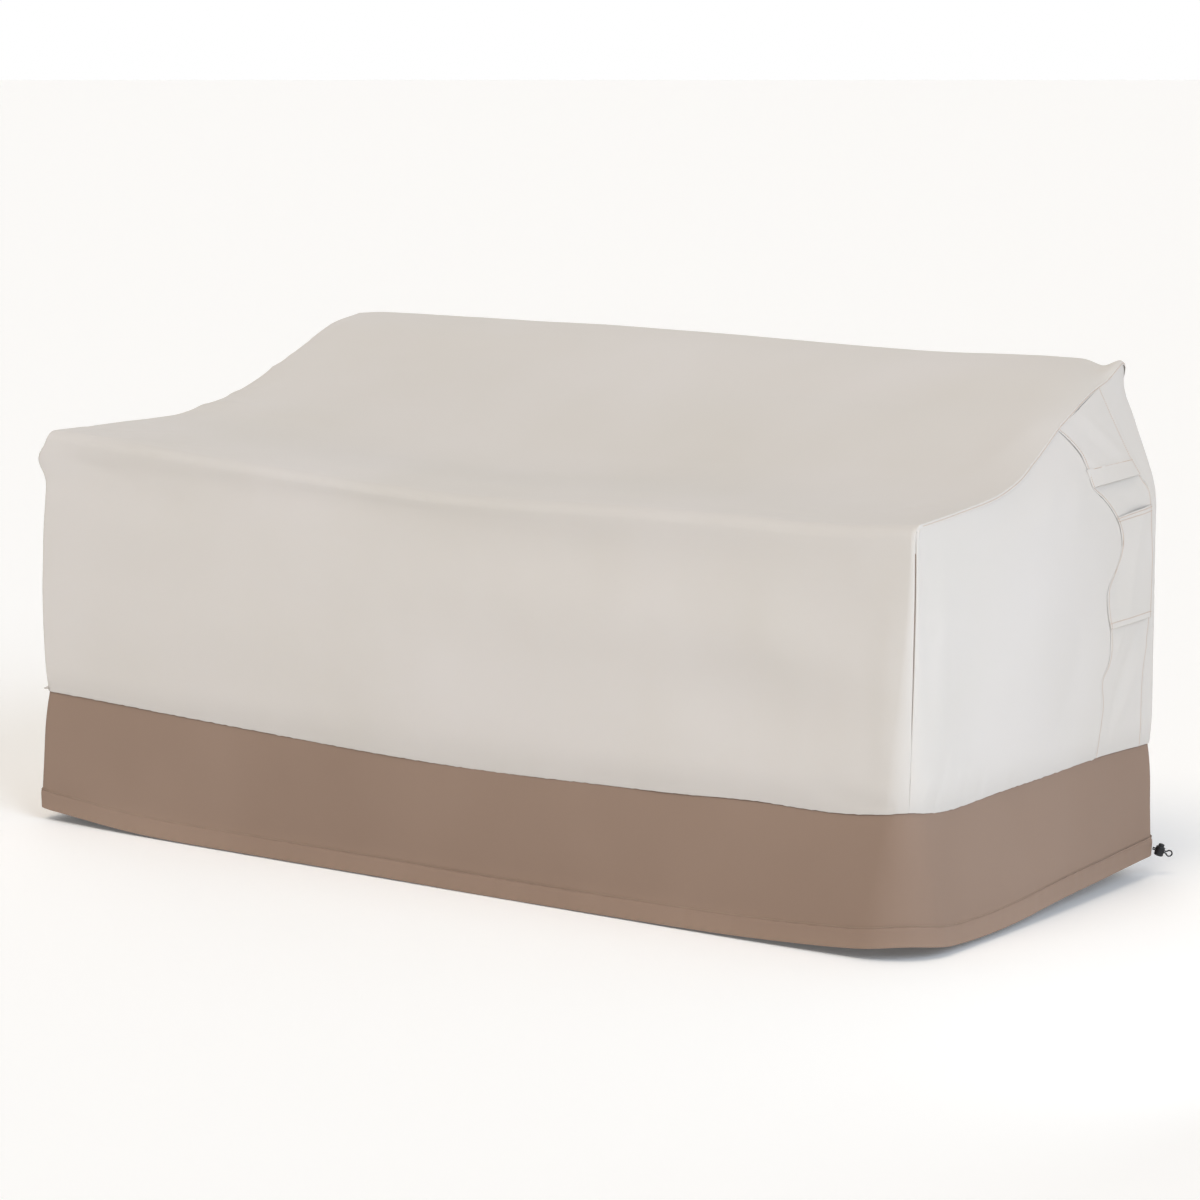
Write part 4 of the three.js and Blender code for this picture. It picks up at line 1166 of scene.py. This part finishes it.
def pierced(piece, low, high, length):
    """Cuts the cord's passage, a bar along X with round top and bottom, and puts the piece in its place."""
    pick()
    radius, along_x = (CORD / 2 + PASSAGE_PLAY) / 1000, (0, math.pi / 2, 0)
    bpy.ops.mesh.primitive_cylinder_add(vertices=24, radius=radius, depth=length / 1000, rotation=along_x)
    bpy.ops.object.transform_apply(rotation=True)
    bar = bpy.context.object
    for vertex in bar.data.vertices:
        vertex.co.z += (high if vertex.co.z > -1e-7 else low) / 1000
    cut = piece.modifiers.new("passage", "BOOLEAN")
    cut.operation, cut.solver, cut.object = "DIFFERENCE", "EXACT", bar
    bpy.context.view_layer.objects.active = piece
    bpy.ops.object.modifier_apply(modifier=cut.name)
    bpy.data.objects.remove(bar)
    piece.data.transform(lock_frame)
    pick(piece)
    bpy.ops.object.shade_smooth_by_angle(angle=math.radians(32))
    print(piece.name, "faces:", len(piece.data.polygons))
    return piece


# %% Barrel and button
outer = LOCK_WIDTH / 2
ribs = []
for k in range(5):
    z = 2.6 + 2.1 * k
    ribs += [(outer - 0.05, z), (outer - 0.05, z + 1.1), (outer - 0.55, z + 1.35), (outer - 0.55, z + 1.85)]
foot = [(0, 0), (outer - 2.4, 0), (outer - 1.2, 0.35), (outer - 0.5, 1.1), (outer - 0.1, 2.2)]
mouth = [(outer - 0.05, 13.2), (outer - 0.4, 14.1), (outer - 1.2, 14.5), (4.8, 14.5), (4.8, 1.2), (0, 1.2)]
barrel_profile = foot + ribs + mouth
cap = [(4.5, 17.6), (4.3, 18.3), (3.8, 18.8), (3.0, 19.0), (1.6, 18.7), (0, 18.6)]
button_profile = [(0, 4.5), (4.5, 4.5)] + cap
lock_body = pierced(spun("lock_body", barrel_profile), STRANDS["low"], STRANDS["high"], 40)
lock_button = pierced(spun("lock_button", button_profile), STRANDS["low"], STRANDS["high"] + 3, 30)


# %% [markdown]
# ## Materials
# Each starts from the real stuff. Colours are given as sRGB hex and turned linear by one function; one more
# function adds a node with its settings and links.

# %% Colour and node helpers
def linear(colour):
    """An sRGB hex colour as linear red, green, blue and alpha."""
    channels = [int(colour[i : i + 2], 16) / 255 for i in (1, 3, 5)]
    return [c / 12.92 if c <= 0.04045 else ((c + 0.055) / 1.055) ** 2.4 for c in channels] + [1]


def new_material(name):
    material = bpy.data.materials.new(name)
    material.use_nodes = True
    return material, material.node_tree.nodes["Principled BSDF"]


def put(owner, node, sockets):
    """Sets a node's sockets, by name or number, or links them where the value is an output."""
    for name, value in sockets.items():
        if isinstance(value, bpy.types.NodeSocket):
            owner.node_tree.links.new(value, node.inputs[name])
        else:
            node.inputs[name].default_value = value


def add(owner, kind, sockets, out=0, stops=None, **settings):
    """Adds a node with its settings, colour stops and sockets, and gives one of its outputs."""
    node = owner.node_tree.nodes.new("ShaderNode" + kind)
    for name, value in settings.items():
        setattr(node, name, value)
    for position in list(stops or [])[2:]:
        node.color_ramp.elements.new(0.5)
    for stop, position in zip(node.color_ramp.elements if stops else [], stops or []):
        stop.position, stop.color = position, linear(stops[position])
    put(owner, node, sockets)
    return node.outputs[out]


# %% [markdown]
# ### Coated polyester
# The cover is woven polyester with a thin polyurethane coat, so it is matt with a faint sheen and shows its
# plain weave only from near. The real threads lie 0.5 mm apart; they are drawn 1.6 mm apart, so that the
# weave shows at all. Larger soft patches stand for uneven coating and handling.

# %% Cloth materials
THREAD_SPACING = 1.6


def coated_cloth(name, stops, roughness, sheen, gloss, foot):
    """Woven cloth in three near shades. Its colour is scaled by foot's last number below foot's first height
    and eased back to full above its second: painted shade where that number is under 1, painted light where
    it is over.
    """
    material, shader = new_material(name)
    cloth = add(material, "UVMap", {}, uv_map="cloth_map")
    place = add(material, "TexCoord", {}, out="Object")
    # a Wave texture repeats its bands 20 times in 2 pi units
    wave = {"Vector": cloth, "Scale": 2 * math.pi / (20 * THREAD_SPACING / 1000)}
    wave |= {"Distortion": 0.4, "Detail Scale": 0.3}
    warp, weft = (add(material, "TexWave", wave, out="Fac", bands_direction=way) for way in ("X", "Y"))
    weave = add(material, "Math", {0: warp, 1: weft}, operation="MULTIPLY")
    slubs = add(material, "TexNoise", {"Vector": cloth, "Scale": 420.0, "Detail": 2.0})
    height = add(material, "Math", {0: weave, 1: slubs}, operation="ADD")
    bump = add(material, "Bump", {"Height": height, "Strength": 0.25, "Distance": 0.00015})
    patches = add(material, "TexNoise", {"Vector": place, "Scale": 3.2, "Detail": 2.0, "Roughness": 0.45})
    tint = add(material, "ValToRGB", {"Fac": patches}, stops=stops)
    limits = dict(zip(("From Min", "From Max", "To Min", "To Max"), (*foot, 1.0)))
    limits["Value"] = add(material, "SeparateXYZ", {"Vector": place}, out="Z")
    # painted shade and light by height: the colour is scaled low on the cover
    painted_light_and_shade = add(material, "MapRange", limits, interpolation_type="SMOOTHSTEP")
    shade = add(material, "HueSaturation", {"Color": tint, "Value": painted_light_and_shade})
    put(material, shader, {"Base Color": shade, "Normal": bump, "Roughness": roughness})
    put(material, shader, {"Sheen Weight": sheen, "Sheen Roughness": 0.45, "Specular IOR Level": gloss})
    return material


CREAM = {0.3: "#d3cec8", 0.5: "#d5d0cb", 0.72: "#d7d2ce"}
TAUPE = {0.3: "#907a6b", 0.5: "#937d6e", 0.72: "#968071"}
# The cream is darkened over about 60 mm above the band seam, a painted shade where the cloth turns in to the
# seam; the taupe is lightened over its hem casing, a painted light.
cream = coated_cloth("cream_coated_polyester", CREAM, 0.62, 0.08, 0.3, (-0.605, -0.53, 0.88))
taupe = coated_cloth("taupe_coated_polyester", TAUPE, 0.66, 0.03, 0.2, (-0.775, -0.73, 1.12))


# %% [markdown]
# ### Thread, cord and plastic
# Sewing thread is spun polyester, a little darker and warmer than the cloth; in the front corner grooves it
# is drawn dark brown, which paints the groove's shade. The cord is a round braid of black polyester: its
# strands cross in a diamond pattern of about 1.5 mm, drawn darker in the hollows between them as painted
# shade. The lock is moulded black nylon with a fine spark texture.

# %% Thread, cord and plastic materials
def grained(name, dark, light, scale, roughness, bump=0.0):
    """One stuff in two near shades, mottled by a fine grain that may also roughen it."""
    material, shader = new_material(name)
    place = add(material, "TexCoord", {}, out="Object")
    grain = add(material, "TexNoise", {"Vector": place, "Scale": scale, "Detail": 2.0})
    tint = add(material, "ValToRGB", {"Fac": grain}, stops={0: dark, 1: light})
    put(material, shader, {"Base Color": tint, "Roughness": roughness})
    if bump:
        relief = add(material, "Bump", {"Height": grain, "Strength": bump, "Distance": 0.0001})
        put(material, shader, {"Normal": relief})
    return material


cream_thread = grained("cream_polyester_thread", "#b99f8c", "#cfb9a8", 900.0, 0.7)
# The dark brown corner thread also paints the shade in the front corner grooves.
corner_thread_and_shade = grained("corner_thread_painted_shade", "#6f5745", "#8b705c", 900.0, 0.7)
taupe_thread = grained("taupe_polyester_thread", "#97826f", "#ab9684", 900.0, 0.7)
black_nylon = grained("moulded_black_nylon", "#131418", "#1e1f24", 2500.0, 0.42, bump=0.3)
STRANDS_ROUND, BRAID_RUN = 4.0, 0.0030


def braided_cord():
    material, shader = new_material("black_braided_cord")
    cord = add(material, "UVMap", {}, uv_map="cord_map")
    around = add(material, "SeparateXYZ", {"Vector": cord})
    strands = []
    for way in (1, -1):
        turn = add(material, "Math", {0: around, 1: way * STRANDS_ROUND}, operation="MULTIPLY")
        run = {0: around.node.outputs["Y"], 1: 1 / BRAID_RUN, 2: turn}
        run = add(material, "Math", run, operation="MULTIPLY_ADD")
        strands.append(add(material, "Math", {0: run, 1: 0.5}, operation="PINGPONG"))
    over = add(material, "Math", dict(enumerate(strands)), operation="MAXIMUM")
    # The braid's colour follows its bump: lighter on the strands, darker in the hollows between them, a
    # painted shade.
    tint = add(material, "ValToRGB", {"Fac": over}, stops={0.2: "#0b0b0d", 0.5: "#26272c"})
    bump = add(material, "Bump", {"Height": over, "Strength": 0.6, "Distance": 0.0003})
    put(material, shader, {"Base Color": tint, "Normal": bump, "Roughness": 0.75})
    return material


black_cord = braided_cord()


# %% [markdown]
# ## Put the pieces on their solids
# Every piece takes its material, rides on a body, and hides the solid that it stands for.

# %% Materials and bodies
def finish_piece(piece, material, slot, body="cover", node=None):
    piece.data.materials.clear()
    piece.data.materials.append(material)
    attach(piece, body)
    if node:
        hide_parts(node)


finish_piece(cream_stitches, cream_thread, "cream_cloth")
finish_piece(band_stitches, taupe_thread, "taupe_cloth")
finish_piece(corner_stitches_and_shade, corner_thread_and_shade, "cream_cloth")
finish_piece(drawcord, black_cord, "black_cord", node="drawcord")
finish_piece(lock_body, black_nylon, "black_plastic", node="lock_barrel")
finish_piece(lock_button, black_nylon, "black_plastic", body="plunger", node="lock_plunger")


# %% Materials of the cloths, which hide their solids
CUT = {
    "top_front_cloth": ("top_front_panel", (1.63, 1.16), "draped"),
    "back_cloth": ("back_panel", (1.75, 0.56), "hung"),
    "side_cloth": ("side_panel", (0.51, 0.47), "hung"),
    "strip_cloth": ("vent_strip", (0.16, 0.52), "hung"),
    "hood_cloth": ("vent_hood", (0.16, 0.14), "hung"),
    "lower_flap_cloth": ("lower_flap", (0.14, 0.18), "hung"),
    "band_cloth": ("skirt_band", (4.7, 0.23), "hung"),
}
for name, cloth in cloths.items():
    kind = name.removesuffix("_right").removesuffix("_left")
    solid, flat, held = CUT[kind]
    look = (taupe, "taupe_cloth") if name == "band_cloth" else (cream, "cream_cloth")
    finish_piece(cloth, *look, node=name.replace(kind, solid))


# %% [markdown]
# ## Floor and light
# A plain pale floor, even white surroundings, and three distant lights as soft as large studio boxes. The
# cool key comes from the right, so that side is the brightest, as in the picture; a warm one from the front
# and above draws the folds; a weak one from behind keeps the other sides readable.

# %% Floor, lights and world
pick()
bpy.ops.mesh.primitive_plane_add(size=400, location=(0, 0, GROUND))
floor = bpy.context.object
floor.name = "floor"
paper, shader = new_material("pale_floor")
put(paper, shader, {"Base Color": linear("#fefefe"), "Roughness": 0.95, "Specular IOR Level": 0.1})
put(paper, shader, {"Emission Color": linear("#ffffff"), "Emission Strength": 0.08})
floor.data.materials.append(paper)


def studio_light(name, kind, place, strength, colour):
    """A light at a place in metres, or for a distant one in its direction."""
    bpy.ops.object.light_add(type=kind, location=place)
    light = bpy.context.object
    light.name = name
    light.data.energy, light.data.color = strength, colour
    return light


def distant_light(name, towards, strength, colour, spread=40):
    """A distant light that shines from a direction, as soft as its spread in degrees."""
    light = studio_light(name, "SUN", Vector(towards) * 6, strength, colour)
    light.data.angle = math.radians(spread)
    light.rotation_euler = (-Vector(towards)).to_track_quat("-Z", "Y").to_euler()


distant_light("side_key", (0.8, -0.26, 0.53), 1.12, (0.74, 0.85, 1.0), 30)
distant_light("front_light", (0.05, -0.5, 0.86), 1.08, (1.0, 0.88, 0.72), 30)
distant_light("rear_light", (-0.62, 0.6, 0.5), 0.35, (1.0, 0.95, 0.9))
side_glow = studio_light("side_glow", "AREA", (1.52, -0.75, -0.3), 1.3, (0.78, 0.89, 1.0))
side_glow.data.size = 0.6
side_glow.rotation_euler = (math.pi / 2, 0, math.pi / 2)
world = bpy.context.scene.world or bpy.data.worlds.new("studio")
bpy.context.scene.world = world
world.use_nodes = True
way = add(world, "TexCoord", {}, out="Generated")
limits = {"From Min": 0.03, "From Max": 0.2, "To Min": 1.0, "To Max": 0.4}
limits["Value"] = add(world, "SeparateXYZ", {0: way}, out="Z")
surroundings = {"Color": (1, 1, 1, 1), "Strength": add(world, "MapRange", limits)}
put(world, world.node_tree.nodes["Background"], surroundings)
bpy.context.scene.view_settings.view_transform = "Standard"
